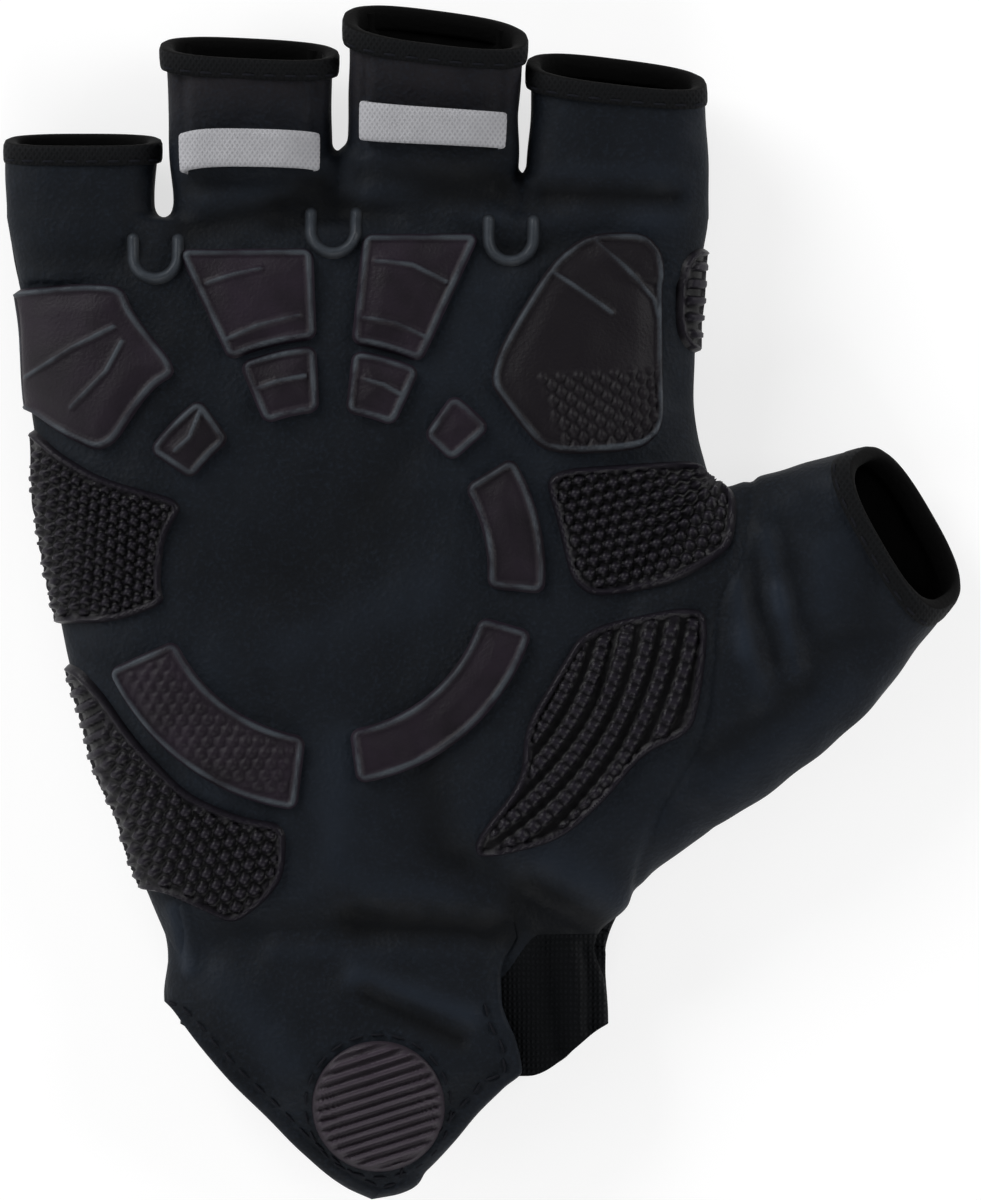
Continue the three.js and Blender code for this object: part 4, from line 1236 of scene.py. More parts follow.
def flap_limits(along):
    """The turns at the flap's right and left edges at that share of its length."""
    y = FLAP_START - along * FLAP_LENGTH
    right = smooth_at(FLAP_RIGHT, "along", "across", along)
    left = smooth_at(FLAP_LEFT, "along", "across", along)
    side = smooth_at(FLAP_ROWS, "y", "side", y)
    down = (side - FLAP_WRAP_HEIGHT) / (side + PRESSED + FLAP_OVER)
    wrapped = math.pi + np.arcsin(np.clip(down, 0, 1) ** (1 / SIDE_POWER))
    past = smooth_step(-FLAP_WRAP_END, -FLAP_WRAP_START, -along)
    plain = flap_turn(left * FLAP_BREADTH, y, FLAP_OVER)
    return flap_turn(right * FLAP_BREADTH, y, FLAP_OVER), plain + past * (wrapped - plain), y


def flap_grid():
    """Turns and places of a grid over the flap, and how far each point lies from its edge."""
    share = np.linspace(0, 1, FLAP_GRID)
    along = FLAP_BURIED + (FLAP_LAST - FLAP_BURIED) * (1 - (1 - share) ** FLAP_CROWDING)
    first, last, y = flap_limits(along)
    turns = np.empty((FLAP_GRID, FLAP_GRID))
    inset = np.empty_like(turns)
    fine = np.linspace(0, 1, FINE_STEPS)
    for i in range(FLAP_GRID):
        tried = first[i] + (last[i] - first[i]) * fine
        line = body_point(tried, y[i], FLAP_OVER, FLAP_ROWS)
        length = np.concatenate([[0], np.cumsum(np.linalg.norm(np.diff(line, axis=0), axis=1))])
        turns[i] = np.interp(share * length[-1], length, tried)
        inset[i] = np.minimum(share, 1 - share) * length[-1]
    edges = body_point(turns[:, [0, -1]], y[:, None], FLAP_OVER, FLAP_ROWS)
    slant = np.gradient(edges[..., 0], axis=0) / np.gradient(y)[:, None]
    slant = np.where(share < 0.5, slant[:, :1], slant[:, 1:])
    return turns, y, inset / np.hypot(1, slant)


def build_flap():
    """The flap that closes over the wrist, with its bound edge."""
    turns, y, inset = flap_grid()
    under = body_point(turns, y[:, None], FLAP_UNDER, FLAP_ROWS)
    plain = body_point(turns, y[:, None], FLAP_OVER, FLAP_ROWS)
    outwards = (plain - under) / np.linalg.norm(plain - under, axis=2, keepdims=True)
    piping = bump(inset - FLAP_PIPING["inset"], FLAP_PIPING["half_width"]) * FLAP_PIPING["height"]
    sewn = smooth_step(-FLAP_SEWN_BEFORE, FLAP_SEWN, FLAP_START - y)[:, None]
    height = (FLAP_THICKNESS * rounded_edge(inset, FLAP_EDGE_ROUND) + piping) * sewn - FLAP_SINK * (1 - sewn)
    calm = sewn * smooth_step(-FLAP_EDGE_CALM, 0, -inset)
    height += (waviness(plain) + flap_creases(plain)) * (1 - calm)
    under -= outwards * (FLAP_THICKNESS * (1 - sewn))[..., None]
    top = body_point(turns, y[:, None], FLAP_UNDER, FLAP_ROWS) + outwards * height[..., None]
    points, faces = closed_sheet(top.reshape(-1, 3), under.reshape(-1, 3), grid_faces(*turns.shape))
    # The crease mark, the folds' height, paints shade into the suede's dents and a highlight onto its rises
    add_piece(
        "wrist_flap", points, faces, (look("palm"),), "palm_leather",
        replaces=("wrist_flap",), marks={"crease": flap_creases(points)},
    )


PATCH_HEIGHT = 0.56
PATCH_DEPTH = 0.7
PATCH_EDGE_ROUND = 0.5
PATCH_RIB_HEIGHT = 0.6
PATCH_RIB_PITCH = 1.55
# The ribs rise over this span from the rim
PATCH_RIM = (0.2, 1.1)
PATCH_RINGS = 64
PATCH_SIDES = 180
PATCH_CORE = 0.002


def patch_place():
    """The middle of the patch in plan."""
    across, along = PATCH_PLACE
    return np.array([across * FLAP_BREADTH, FLAP_START - along * FLAP_LENGTH])


def build_patch():
    """The round rubber patch with slanted ribs."""
    radii = np.linspace(PATCH_CORE, 1, PATCH_RINGS) * PATCH_DIAMETER / 2
    turns = np.linspace(0, 2 * math.pi, PATCH_SIDES, endpoint=False)
    radius, turn = np.meshgrid(radii, turns, indexing="ij")
    across, along = radius * np.cos(turn), radius * np.sin(turn)
    inset = PATCH_DIAMETER / 2 - radius
    run = along * math.cos(PATCH_RIB_TURN) - across * math.sin(PATCH_RIB_TURN)
    rib = smooth_step(-0.35, 0.45, np.cos(2 * math.pi * run / PATCH_RIB_PITCH))
    rib *= smooth_step(*PATCH_RIM, inset)
    x, y = patch_place()
    top, under = flap_surface(x + across, y + along), flap_surface(x + across, y + along, -PATCH_DEPTH)
    top[..., 2] += rounded_edge(inset, PATCH_EDGE_ROUND) * PATCH_HEIGHT + rib * PATCH_RIB_HEIGHT
    faces = grid_faces(*radius.shape, wrap=True)
    points, faces = closed_sheet(top.reshape(-1, 3), under.reshape(-1, 3), faces)
    add_piece(
        "flap_patch", points, faces, (look("patch"),), "patch_rubber",
        replaces=("flap_patch",), marks={"ridge": np.tile(rib.ravel(), 2)},
    )


CELL_CROWN = 0.45
# The crown rises over this span from the cell's edge
CELL_CROWN_SPAN = (1, 4.5)
# Cells darker than the rest
CELL_SHADES = {
    "index_base_cell": 0.95, "web_inner_cell": 0.3, "little_base_cell": 0.15, "little_inner_cell": 0.5,
}
CELL_LINE_INSET = 0.75
# The line round a cell is wider to each side than the lines inside it
RIM_LINE_MORE = 0.15
# Small nubs on part of the index cell and all over the heel cell, past this span from its edge
STREAKS = [(0.29, 0.68), (0.43, 0.68), (0.43, 0.8), (0.25, 0.79)]
STREAK_HEIGHT = 0.5
HEEL_CELL_NUB_HEIGHT = 0.35
HEEL_CELL_NUBS_IN = (1.3, 2.4)


def build_cells():
    """The padded cells with their raised lines."""
    plan, _, _ = palm_grid()
    own = sizes()
    cell_height, line_height = own.cell_height / MM, own.line_height / MM
    line_width = own.line_width / MM
    for name in (*CELLS, "little_base_cell", "index_base_cell"):
        if name in CELLS:
            inside = cell_distance(plan[..., :2], name)
        else:
            inside = inside_distance(plan[..., :2], rounded_outline(OUTLINES[name]))
        inside = np.minimum(inside, above_parting(plan))
        ridge = bump(inside - CELL_LINE_INSET, line_width / 2 + RIM_LINE_MORE)
        for chain in INNER_LINES.get(name, ()):
            places = [on_palm(*shares) for shares in chain]
            for start, end in zip(places, places[1:]):
                line = bump(segment_distance(plan[..., :2], start, end), line_width / 2)
                ridge = np.maximum(ridge, line * smooth_step(0, 1, inside))
        height = cell_height + CELL_CROWN * smooth_step(*CELL_CROWN_SPAN, inside) + line_height * ridge
        if name == "index_base_cell":
            height += STREAK_HEIGHT * streaks(plan)
        if name == "heel_inner_cell":
            height += HEEL_CELL_NUB_HEIGHT * nubs(name, plan) * smooth_step(*HEEL_CELL_NUBS_IN, inside)
        points, faces, marks = relief_shape(inside, height, ridge)
        shade = np.full(len(points), CELL_SHADES.get(name, 0))
        piece = add_piece(
            name, points, faces, (look("padding"),), "padding",
            replaces=(name,), marks={"ridge": marks, "shade": shade},
        )


# Fields of nubs: their direction in degrees from x, and their pitches along and across it
NUB_FIELDS = {
    "index_base_cell": (95, 2.3, 1.3),
    "heel_inner_cell": (60, 1.9, 1.6),
    "side_grip": (25, 1.75, 1.5),
    "heel_grip": (12, 2.1, 1.9),
    "web_grip": (15, 1.9, 1.7),
}
# A nub rises over this span of the wave that makes it
NUB_SPAN = (-0.25, 0.6)


def nubs(name, plan):
    """That piece's field of rounded nubs, every other row shifted by half a pitch."""
    degrees, along_pitch, across_pitch = NUB_FIELDS[name]
    turn = math.radians(degrees)
    along = plan[..., 0] * math.cos(turn) + plan[..., 1] * math.sin(turn)
    across = plan[..., 1] * math.cos(turn) - plan[..., 0] * math.sin(turn)
    row = np.floor(across / across_pitch)
    shifted = along / along_pitch + row % 2 / 2
    wave = np.cos(2 * math.pi * shifted) + np.cos(2 * math.pi * (across / across_pitch - 0.5))
    return smooth_step(*NUB_SPAN, wave / 2)


def streaks(plan):
    """Upright streaks in the lower part of the index cell."""
    zone = inside_distance(plan[..., :2], np.array(STREAKS) * (KNUCKLE_BREADTH, PALM_LENGTH))
    return nubs("index_base_cell", plan) * smooth_step(0, 1.2, zone)


# The heel's ribs: the way across them, their pitch, and the shares of the breadth over which they take over
HEEL_RIB_WAY = (-0.47, 0.88)
HEEL_RIB_PITCH = 2.3
HEEL_RIBS_FROM = (0.335, 0.37)


def heel_nubs(plan):
    """Round nubs on the heel, drawn out into ribs at the glove's edge."""
    ribs = smooth_step(-0.2, 0.5, np.cos(2 * math.pi * (plan[..., :2] @ HEEL_RIB_WAY) / HEEL_RIB_PITCH))
    at_edge = smooth_step(*HEEL_RIBS_FROM, -plan[..., 0] / KNUCKLE_BREADTH)
    return nubs("heel_grip", plan) * (1 - at_edge) + ribs * at_edge


# Rows of beads on the leaf-shaped grip: their radius, the pitches of beads and rows, how far each row's beads
# are shifted, and the share of a bead's height that the row has between beads
LEAF_RADIUS = 44
LEAF_BEAD = 1.9
LEAF_ROW = 3.1
LEAF_SHIFT = 0.37
LEAF_LOW = 0.35


def leaf_nubs(plan):
    """Curved rows round the palm's flat disc."""
    radius, angle = disc_polar(plan[..., :2])
    along, across = angle * LEAF_RADIUS / LEAF_BEAD, radius / LEAF_ROW
    bead = smooth_step(-0.5, 0.4, np.cos(2 * math.pi * (along + np.floor(across) * LEAF_SHIFT)))
    row = smooth_step(-0.35, 0.35, np.cos(2 * math.pi * (across - 0.5)))
    return row * (LEAF_LOW + (1 - LEAF_LOW) * bead)


EDGE_RIB_PITCH = 2.5


def edge_ribs(plan):
    """Ribs across the index finger's side."""
    return smooth_step(-0.3, 0.5, np.cos(2 * math.pi * (plan[..., 1] - 1) / EDGE_RIB_PITCH))


# Each grip's pattern of nubs
GRIP_NUBS = {
    "side_grip": functools.partial(nubs, "side_grip"),
    "heel_grip": heel_nubs,
    "web_grip": functools.partial(nubs, "web_grip"),
    "thumb_heel_grip": leaf_nubs,
    "index_edge_grip": edge_ribs,
}
THUMB_SIDE_GRIPS = ("web_grip", "thumb_heel_grip")
GRIP_BORDER = table(("inset", "half_width", "share"), (0.7, 0.75, 0.8))
# Nubs rise over this span from the grip's edge
GRIP_NUBS_IN = (0.9, 2)


def build_grips():
    """The studded and ribbed silicone grips."""
    grip_height, nub_height = sizes().grip_height / MM, sizes().nub_height / MM
    for name, pattern in GRIP_NUBS.items():
        grid = thumb_side_grid if name in THUMB_SIDE_GRIPS else palm_grid
        plan = grid()[0]
        inside = inside_distance(plan[..., :2], rounded_outline(OUTLINES[name]))
        inside = np.minimum(inside, above_parting(plan))
        border = bump(inside - GRIP_BORDER["inset"], GRIP_BORDER["half_width"]) * GRIP_BORDER["share"]
        nub = pattern(plan) * smooth_step(*GRIP_NUBS_IN, inside)
        ridge = np.maximum(nub, border)
        points, faces, marks = relief_shape(inside, grip_height + nub_height * ridge, ridge, grid)
        add_piece(
            name, points, faces, (look("silicone"),), "silicone", replaces=(name,), marks={"ridge": marks}
        )


RIDGE_LEG = 2.6
RIDGE_HALF_WIDTH = 1.1
RIDGE_FOOT = 0.3
RIDGE_HEIGHT = 0.9


def build_ridges():
    """The U-shaped ridges under the slits."""
    plan, _, _ = palm_grid()
    for name, shares in CROTCH_RIDGES.items():
        centre = on_palm(*shares)
        way = plan[..., :2] - centre
        round_part = np.abs(np.linalg.norm(way, axis=2) - RIDGE_RADIUS)
        legs = np.hypot(np.abs(way[..., 0]) - RIDGE_RADIUS, np.maximum(way[..., 1] - RIDGE_LEG, 0))
        distance = np.where(way[..., 1] < 0, round_part, legs)
        inside = RIDGE_HALF_WIDTH - distance
        height = RIDGE_FOOT + RIDGE_HEIGHT * smooth_step(0, RIDGE_HALF_WIDTH, inside)
        points, faces, marks = relief_shape(inside, height, smooth_step(0, 0.8, inside))
        add_piece(name, points, faces, (look("ridge"),), "silicone", replaces=(name,), marks={"ridge": marks})


# A pull tab's section: share of its half width, and height above its underside
TAB_SECTION = np.array([
    (-1, 0.2), (-0.97, 0.6), (-0.88, 0.85), (-0.6, 0.9), (0, 0.92), (0.6, 0.9), (0.88, 0.85), (0.97, 0.6),
    (1, 0.2), (0.95, 0), (0.6, -0.05), (0, -0.05), (-0.6, -0.05), (-0.95, 0),
])
TAB_STEPS = 90
# It stands off the finger by the clearance, bows out by more in the middle, and sinks in at both ends
TAB_CLEARANCE = 0.45
TAB_BOW = 1.2
TAB_SUNK = 1.4
TAB_RIPPLE = 0.12
# How far the left and the right end hang below the middle
TAB_ARCH = {"ring": (1.3, 0.6), "middle": (0, 0.3)}


def build_tabs():
    """The grey loops across the ring and the middle finger."""
    u = np.linspace(0, 1, TAB_STEPS)[:, None]
    from_middle = np.abs(2 * u - 1)
    side, lift = TAB_SECTION.T
    for name, along in PULL_TABS.items():
        index = FINGER_NAMES.index(name)
        turn = 3 * TAB_SPREAD - 2 * TAB_SPREAD * u
        bow = TAB_BOW * (1 - from_middle**2.6) - TAB_SUNK * smooth_step(0.9, 1, from_middle)
        ripple = TAB_RIPPLE * np.sin(u * 21 + side * 2) * np.sin(math.pi * u)
        arch = np.where(u < 0.5, *TAB_ARCH[name]) * from_middle**2
        above = along * FINGERS["reach"][index] + side * TAB_WIDTH / 2 - arch
        rings = finger_point(index, turn, above, TAB_CLEARANCE + bow + lift + ripple, webbed=False)
        points, faces = closed_tube(rings)
        add_piece(
            f"{name}_pull_tab", points, faces, (look("tape"),), "reflective_tape",
            replaces=(f"{name}_pull_tab",),
        )


# A stitch: share of its length, share of its half width, and rise above the cloth in millimetres
STITCH_SECTIONS = np.array([
    (-1, 0.15, -0.16), (-0.8, 0.75, 0), (-0.4, 1, 0.1), (0.4, 1, 0.1), (0.8, 0.75, 0), (1, 0.15, -0.16),
])
STITCH_SIDES = 6
STITCH_GAP = 0.9
RUN_STEPS = 200
# A hem's stitches lie this far back from the mouth and out from the skin, and stop this far from its sides
HEM_STITCH_BACK = 2.5
HEM_STITCH_OUT = 0.36
HEM_STITCH_STOP = 0.3
# The flap's stitches lie this far in from its edge, the patch's this far out from its rim, and both stand up
FLAP_STITCH_INSET = 2.9
FLAP_STITCH_LIFT = 0.03
PATCH_STITCH_OUT = 0.9
PATCH_STITCH_LIFT = 0.05


def stitched(line, outwards):
    """A run of stitches along a line on the surface, as one shape."""
    own = sizes()
    length, half_width = own.stitch_length / MM, own.stitch_width / MM / 2
    run = np.concatenate([[0], np.cumsum(np.linalg.norm(np.diff(line, axis=0), axis=1))])
    count = int(run[-1] / (length + STITCH_GAP))
    middles = (np.arange(count) + 0.5) * run[-1] / count
    turns = np.linspace(0, 2 * math.pi, STITCH_SIDES, endpoint=False)
    shells = []
    for middle in middles:
        here, before, after, up = (
            np.array([np.interp(place_on, run, values[:, axis]) for axis in range(3)])
            for place_on, values in (
                (middle, line), (middle - length / 2, line), (middle + length / 2, line), (middle, outwards)
            )
        )
        way = (after - before) / np.linalg.norm(after - before)
        across = np.cross(up, way)
        across /= np.linalg.norm(across)
        rings = np.array([
            here + way * share * length / 2 + up * rise
            + half_width * thick * (np.cos(turns)[:, None] * across + np.sin(turns)[:, None] * up)
            for share, thick, rise in STITCH_SECTIONS
        ])
        shells.append(closed_tube(rings))
    return joined(shells)


def outward(point, step=0.5):
    """The way outwards where a surface is given at two amounts of growth."""
    way = point(step) - point(0)
    return way / np.linalg.norm(way, axis=-1, keepdims=True)


def build_stitches():
    """The sewing along the hems, the flap's edge and the patch."""
    half_turn = np.linspace(HEM_STITCH_STOP, math.pi - HEM_STITCH_STOP, RUN_STEPS // 2)
    runs = {}
    for name in (*FINGER_NAMES, "thumb"):
        runs[f"{name}_hem_stitches"] = [
            (
                hem_point(name, half, HEM_STITCH_BACK, HEM_STITCH_OUT),
                outward(lambda grow: hem_point(name, half, HEM_STITCH_BACK, grow)),
            )
            for half in (half_turn, half_turn + math.pi)
        ]
    flap_turns, y, inset = flap_grid()
    edges = []
    wide = (inset.max(1) > FLAP_STITCH_INSET) & (y < FLAP_START - FLAP_SEWN)
    for order in (1, -1):
        first = np.argmax(inset[:, ::order] > FLAP_STITCH_INSET, axis=1)
        chosen = flap_turns[:, ::order][np.arange(len(y)), first]
        plain = body_point(chosen, y, FLAP_OVER + FLAP_STITCH_LIFT, FLAP_ROWS)[wide]
        plain[:, 2] += waviness(plain) + flap_creases(plain)
        edges.append((plain, outward(lambda grow: body_point(chosen, y, grow, FLAP_ROWS)[wide])))
    runs["flap_stitches"] = edges
    turns = np.linspace(0, 2 * math.pi, RUN_STEPS)
    radius = PATCH_DIAMETER / 2 + PATCH_STITCH_OUT
    x, y = patch_place()[:, None] + radius * np.stack([np.cos(turns), np.sin(turns)])
    runs["patch_stitches"] = [
        (flap_surface(x, y, PATCH_STITCH_LIFT), outward(lambda grow: flap_surface(x, y, grow)))
    ]
    for name, pieces in runs.items():
        points, faces = joined([stitched(line, way) for line, way in pieces])
        add_piece(name, points, faces, (look("thread"),), "binding")


# Materials

# Sockets of a colour mix: its share, and the two colours that it goes between
SHARE, FROM, TO = 0, 6, 7
COLOUR_MIX = {"kind": "Mix", "output": 2, "data_type": "RGBA"}
# Yarn, coating and soft rubber are plastics, which bend light by nearly the same amount
PLASTIC_IOR = 1.5
SILICONE_IOR = 1.41
# Where the ring and middle fingers' fronts turn browner, in millimetres from the wrist line
WORN_FROM, WORN_TO = 118, 127


def add_node(tree, kind, inputs=None, output=0, **settings):
    """Adds a node with its settings, fills or links its inputs, and gives one of its outputs."""
    made = tree.nodes.new(f"ShaderNode{kind}")
    for key, value in settings.items():
        setattr(made, key, value)
    for key, value in (inputs or {}).items():
        if isinstance(value, bpy.types.NodeSocket):
            tree.links.new(value, made.inputs[key])
        else:
            made.inputs[key].default_value = value
    return made.outputs[output] if made.outputs else None


def started(name):
    """A new material, what adds nodes to it, and the place on the object."""
    material = bpy.data.materials.new(name)
    material.use_nodes = True
    material.node_tree.nodes.clear()
    add = functools.partial(add_node, material.node_tree)
    return material, add, add("TexCoord", output="Object")


def finished(material, add, colour, roughness, height, depth, constants):
    """Joins all to the shader: height from 0 to 1 dents the surface by that many millimetres."""
    dents = add("Bump", {"Height": height, "Distance": depth * MM, "Strength": 1.0})
    given = {"Base Color": colour, "Roughness": roughness, "Normal": dents, "IOR": PLASTIC_IOR, "Metallic": 0}
    add("OutputMaterial", {"Surface": add("BsdfPrincipled", {**given, **constants})})
    return material


def per_metre(millimetres):
    """The scale of noise or cells that are about that many millimetres across."""
    return 1 / (millimetres * MM)


def rows_per_metre(millimetres):
    """The scale of a wave whose crests are that many millimetres apart."""
    return math.pi / 10 / (millimetres * MM)


def scaled_colour(colour, share):
    """A colour made darker or lighter by a share."""
    return [c * share for c in colour[:3]] + [1]


def suede(name, worn=False):
    """Synthetic suede, a coated microfibre sanded to a nap.

    The nap drinks light and lies this way and that in soft clouds. Handling rubs patches of it flat.
    Painted shade darkens the folds, and a painted highlight lightens their raised rims. The ring and the
    middle finger's ends are browner.
    """
    material, add, place = started(name)
    base = colours().palm
    clouds = add("TexNoise", {"Vector": place, "Scale": per_metre(26), "Detail": 2})
    clouds = add("MapRange", {"Value": clouds, "From Min": 0.36, "From Max": 0.64})
    patches = add("TexNoise", {"Vector": place, "Scale": per_metre(7), "Detail": 5})
    patches = add("MapRange", {"Value": patches, "From Min": 0.3, "From Max": 0.7})
    grain = add("TexNoise", {"Vector": place, "Scale": per_metre(0.55), "Detail": 4})
    pores = add("TexVoronoi", {"Vector": place, "Scale": per_metre(0.8)})
    crease = add("Attribute", attribute_name="crease", output="Fac")
    # shadow is the painted shade in the folds; pale_grain_and_highlight lightens the grain's flecks and is the
    # painted highlight on the folds' rims
    shadow, dull, pale_grain_and_highlight = (scaled_colour(base, share) for share in (0.18, 0.45, 2.6))
    layers = [(clouds, scaled_colour(base, 1.3))]
    if worn:
        along = add("SeparateXYZ", {"Vector": place}, output="Y")
        start, end = ((millimetres + SHIFT[1]) * MM for millimetres in (WORN_FROM, WORN_TO))
        browner = add("MapRange", {"Value": along, "From Min": start, "From Max": end})
        layers.append((browner, list(colours().worn)))
    layers += [
        (add("Math", {0: patches, 1: 0.55}, operation="MULTIPLY"), dull),
        (add("MapRange", {"Value": grain, "From Min": 0.5, "From Max": 0.8, "To Max": 0.5}), pale_grain_and_highlight),
        # Painted shade in the folds' dents and a painted highlight on their raised rims, from the crease mark
        (add("MapRange", {"Value": crease, "From Min": -0.05, "From Max": -1, "To Max": 0.85}), shadow),
        (add("MapRange", {"Value": crease, "From Min": 0.1, "From Max": 1, "To Max": 0.8}), pale_grain_and_highlight),
    ]
    colour = scaled_colour(base, 0.62)
    for share, tone in layers:
        colour = add(inputs={SHARE: share, FROM: colour, TO: tone}, **COLOUR_MIX)
    tooth = add("Math", {0: pores, 1: 0.4}, operation="MULTIPLY")
    height = add("Math", {0: grain, 1: 0.6, 2: tooth}, operation="MULTIPLY_ADD")
    roughness = add("MapRange", {"Value": patches, "To Min": 0.6, "To Max": 0.78})
    return finished(material, add, colour, roughness, height, 0.16, {"Specular IOR Level": 0.14})


def knitted(name):
    """Warp-knitted nylon: fine columns of loops crossed by rows, matt, stretched a little unevenly."""
    material, add, place = started(name)
    base = colours().knit
    # Real columns are about 0.5 mm apart. They're drawn at 0.7 mm so that they show
    crests = []
    for pitch, degrees in ((0.7, 0), (0.9, 90)):
        turned_place = add("Mapping", {"Vector": place, "Rotation": (0, 0, math.radians(degrees))})
        inputs = {"Vector": turned_place, "Scale": rows_per_metre(pitch), "Distortion": 1.5}
        crests.append(add("TexWave", inputs, output="Fac", wave_type="BANDS", bands_direction="X"))
    loops = add("Math", {0: crests[0], 1: crests[1]}, operation="MULTIPLY")
    patches = add("TexNoise", {"Vector": place, "Scale": per_metre(12), "Detail": 3})
    layers = (
        (loops, scaled_colour(base, 1.25)),
        (add("MapRange", {"Value": patches, "To Max": 0.4}), scaled_colour(base, 0.8)),
    )
    colour = scaled_colour(base, 0.6)
    for share, tone in layers:
        colour = add(inputs={SHARE: share, FROM: colour, TO: tone}, **COLOUR_MIX)
    roughness = add("MapRange", {"Value": loops, "To Min": 0.9, "To Max": 0.75})
    return finished(material, add, colour, roughness, loops, 0.22, {"Specular IOR Level": 0.1})


def padded_leather(name):
    """Polyurethane leather embossed over foam, purple-brown and satin; its moulded lines are painted lighter
    as sheen, unevenly.
    """
    material, add, place = started(name)
    base = colours().padding
    patches = add("TexNoise", {"Vector": place, "Scale": per_metre(7), "Detail": 4})
    grain = add("TexNoise", {"Vector": place, "Scale": per_metre(0.5), "Detail": 3})
    # Painted sheen on the moulded lines: a noise varies how light each part of a line is painted
    sheen_variation = add("TexNoise", {"Vector": place, "Scale": per_metre(5), "Detail": 3})
    sheen_variation = add("MapRange", {"Value": sheen_variation, "From Min": 0.35, "From Max": 0.65, "To Min": 0.45, "To Max": 1.1})
    line = add("Attribute", attribute_name="ridge", output="Fac")
    line = add("Math", {0: line, 1: sheen_variation}, operation="MULTIPLY")
    layers = (
        (add("MapRange", {"Value": patches, "From Min": 0.3, "From Max": 0.7}), scaled_colour(base, 1.45)),
        (add("Attribute", attribute_name="shade", output="Fac"), scaled_colour(base, 0.4)),
        (add("MapRange", {"Value": line, "From Min": 0.25, "From Max": 0.9}), list(colours().line)),
    )
    colour = scaled_colour(base, 0.6)
    for share, tone in layers:
        colour = add(inputs={SHARE: share, FROM: colour, TO: tone}, **COLOUR_MIX)
    roughness = add("MapRange", {"Value": patches, "To Min": 0.5, "To Max": 0.66})
    return finished(material, add, colour, roughness, grain, 0.09, {"Specular IOR Level": 0.2})


def moulded(name, base, top, groove_share, dust_and_sheen_size, sheen_variation, roughness, grain, depth, constants):
    """Moulded rubber, satin: painted shade darkens its grooves and a painted highlight lightens its tops.
    One noise varies both the highlight and the roughness.

    dust_and_sheen_size and grain are a noise's size in millimetres and its detail.
    """
    material, add, place = started(name)
    size, detail = dust_and_sheen_size
    dust_and_sheen = add("TexNoise", {"Vector": place, "Scale": per_metre(size), "Detail": detail})
    # How strongly the painted highlight lightens each part of the tops
    worn = add("MapRange", {"Value": dust_and_sheen, "To Min": sheen_variation[0], "To Max": sheen_variation[1]})
    ridge = add("Attribute", attribute_name="ridge", output="Fac")
    ridge = add("Math", {0: ridge, 1: worn}, operation="MULTIPLY")
    # Painted shade in the grooves, at groove_share of the base, and the painted highlight on the tops
    colour = add(inputs={SHARE: ridge, FROM: scaled_colour(base, groove_share), TO: top}, **COLOUR_MIX)
    dull = add("MapRange", {"Value": dust_and_sheen, "To Min": roughness[0], "To Max": roughness[1]})
    size, detail = grain
    tooth = add("TexNoise", {"Vector": place, "Scale": per_metre(size), "Detail": detail})
    return finished(material, add, colour, dull, tooth, depth, constants)


def silicone(name, light=False):
    """Moulded silicone, smooth and satin as it leaves its mould."""
    base = colours().silicone
    # Painted highlight on the tops: three times the base on the grips, the painted sheen of the lines on the
    # ridges
    top = list(colours().line) if light else scaled_colour(base, 3.2)
    return moulded(
        name, base, top, groove_share=0.35, dust_and_sheen_size=(1.2, 4), sheen_variation=(0.55, 1.1),
        roughness=(0.36, 0.55), grain=(0.6, 2), depth=0.05,
        constants={"IOR": SILICONE_IOR, "Specular IOR Level": 0.2},
    )


def patch_rubber(name):
    """Soft moulded rubber, a little duller than silicone."""
    base = colours().patch
    return moulded(
        # Painted light on the ribs: their tops a little lighter, the grooves between them darker
        name, base, scaled_colour(base, 1.15), groove_share=0.6, dust_and_sheen_size=(1.6, 5), sheen_variation=(0.6, 1.2),
        roughness=(0.42, 0.62), grain=(0.5, 3), depth=0.07,
        constants={"Specular IOR Level": 0.2},
    )


def woven_tape(name, base, pitch, roughness, light_share, dark_share, depth):
    """Narrow woven tape: slanted yarns that cross, with a painted highlight lying along them."""
    material, add, place = started(name)
    yarns = []
    for degrees in (35, -35):
        turned_place = add("Mapping", {"Vector": place, "Rotation": (0, 0, math.radians(degrees))})
        inputs = {"Vector": turned_place, "Scale": rows_per_metre(pitch), "Distortion": 0}
        yarns.append(add("TexWave", inputs, output="Fac", wave_type="BANDS", bands_direction="X"))
    weave = add("Math", {0: yarns[0], 1: yarns[1]}, operation="MAXIMUM")
    patches = add("TexNoise", {"Vector": place, "Scale": per_metre(4), "Detail": 4})
    patches = add("MapRange", {"Value": patches, "From Min": 0.35, "From Max": 0.7, "To Max": 0.5})
    colour = scaled_colour(base, dark_share)
    for share, tone in ((weave, light_share), (patches, dark_share * 1.05)):
        colour = add(inputs={SHARE: share, FROM: colour, TO: scaled_colour(base, tone)}, **COLOUR_MIX)
    dull = add("MapRange", {"Value": weave, "To Min": roughness + 0.1, "To Max": roughness})
    return finished(material, add, colour, dull, weave, depth, {"Specular IOR Level": 0.12})


def nylon_binding(name):
    """Woven nylon binding, matt and nearly black, its yarns drawn coarse, 0.7 mm apart, so that they show."""
    return woven_tape(
        name, colours().binding, pitch=0.7, roughness=0.75, light_share=1.4, dark_share=0.8, depth=0.08
    )


def reflective_tape(name):
    """Woven tape faced with tiny glass beads: pale grey in plain light, smoother than cloth."""
    return woven_tape(
        name, colours().tape, pitch=0.6, roughness=0.45, light_share=1.12, dark_share=0.78, depth=0.08
    )


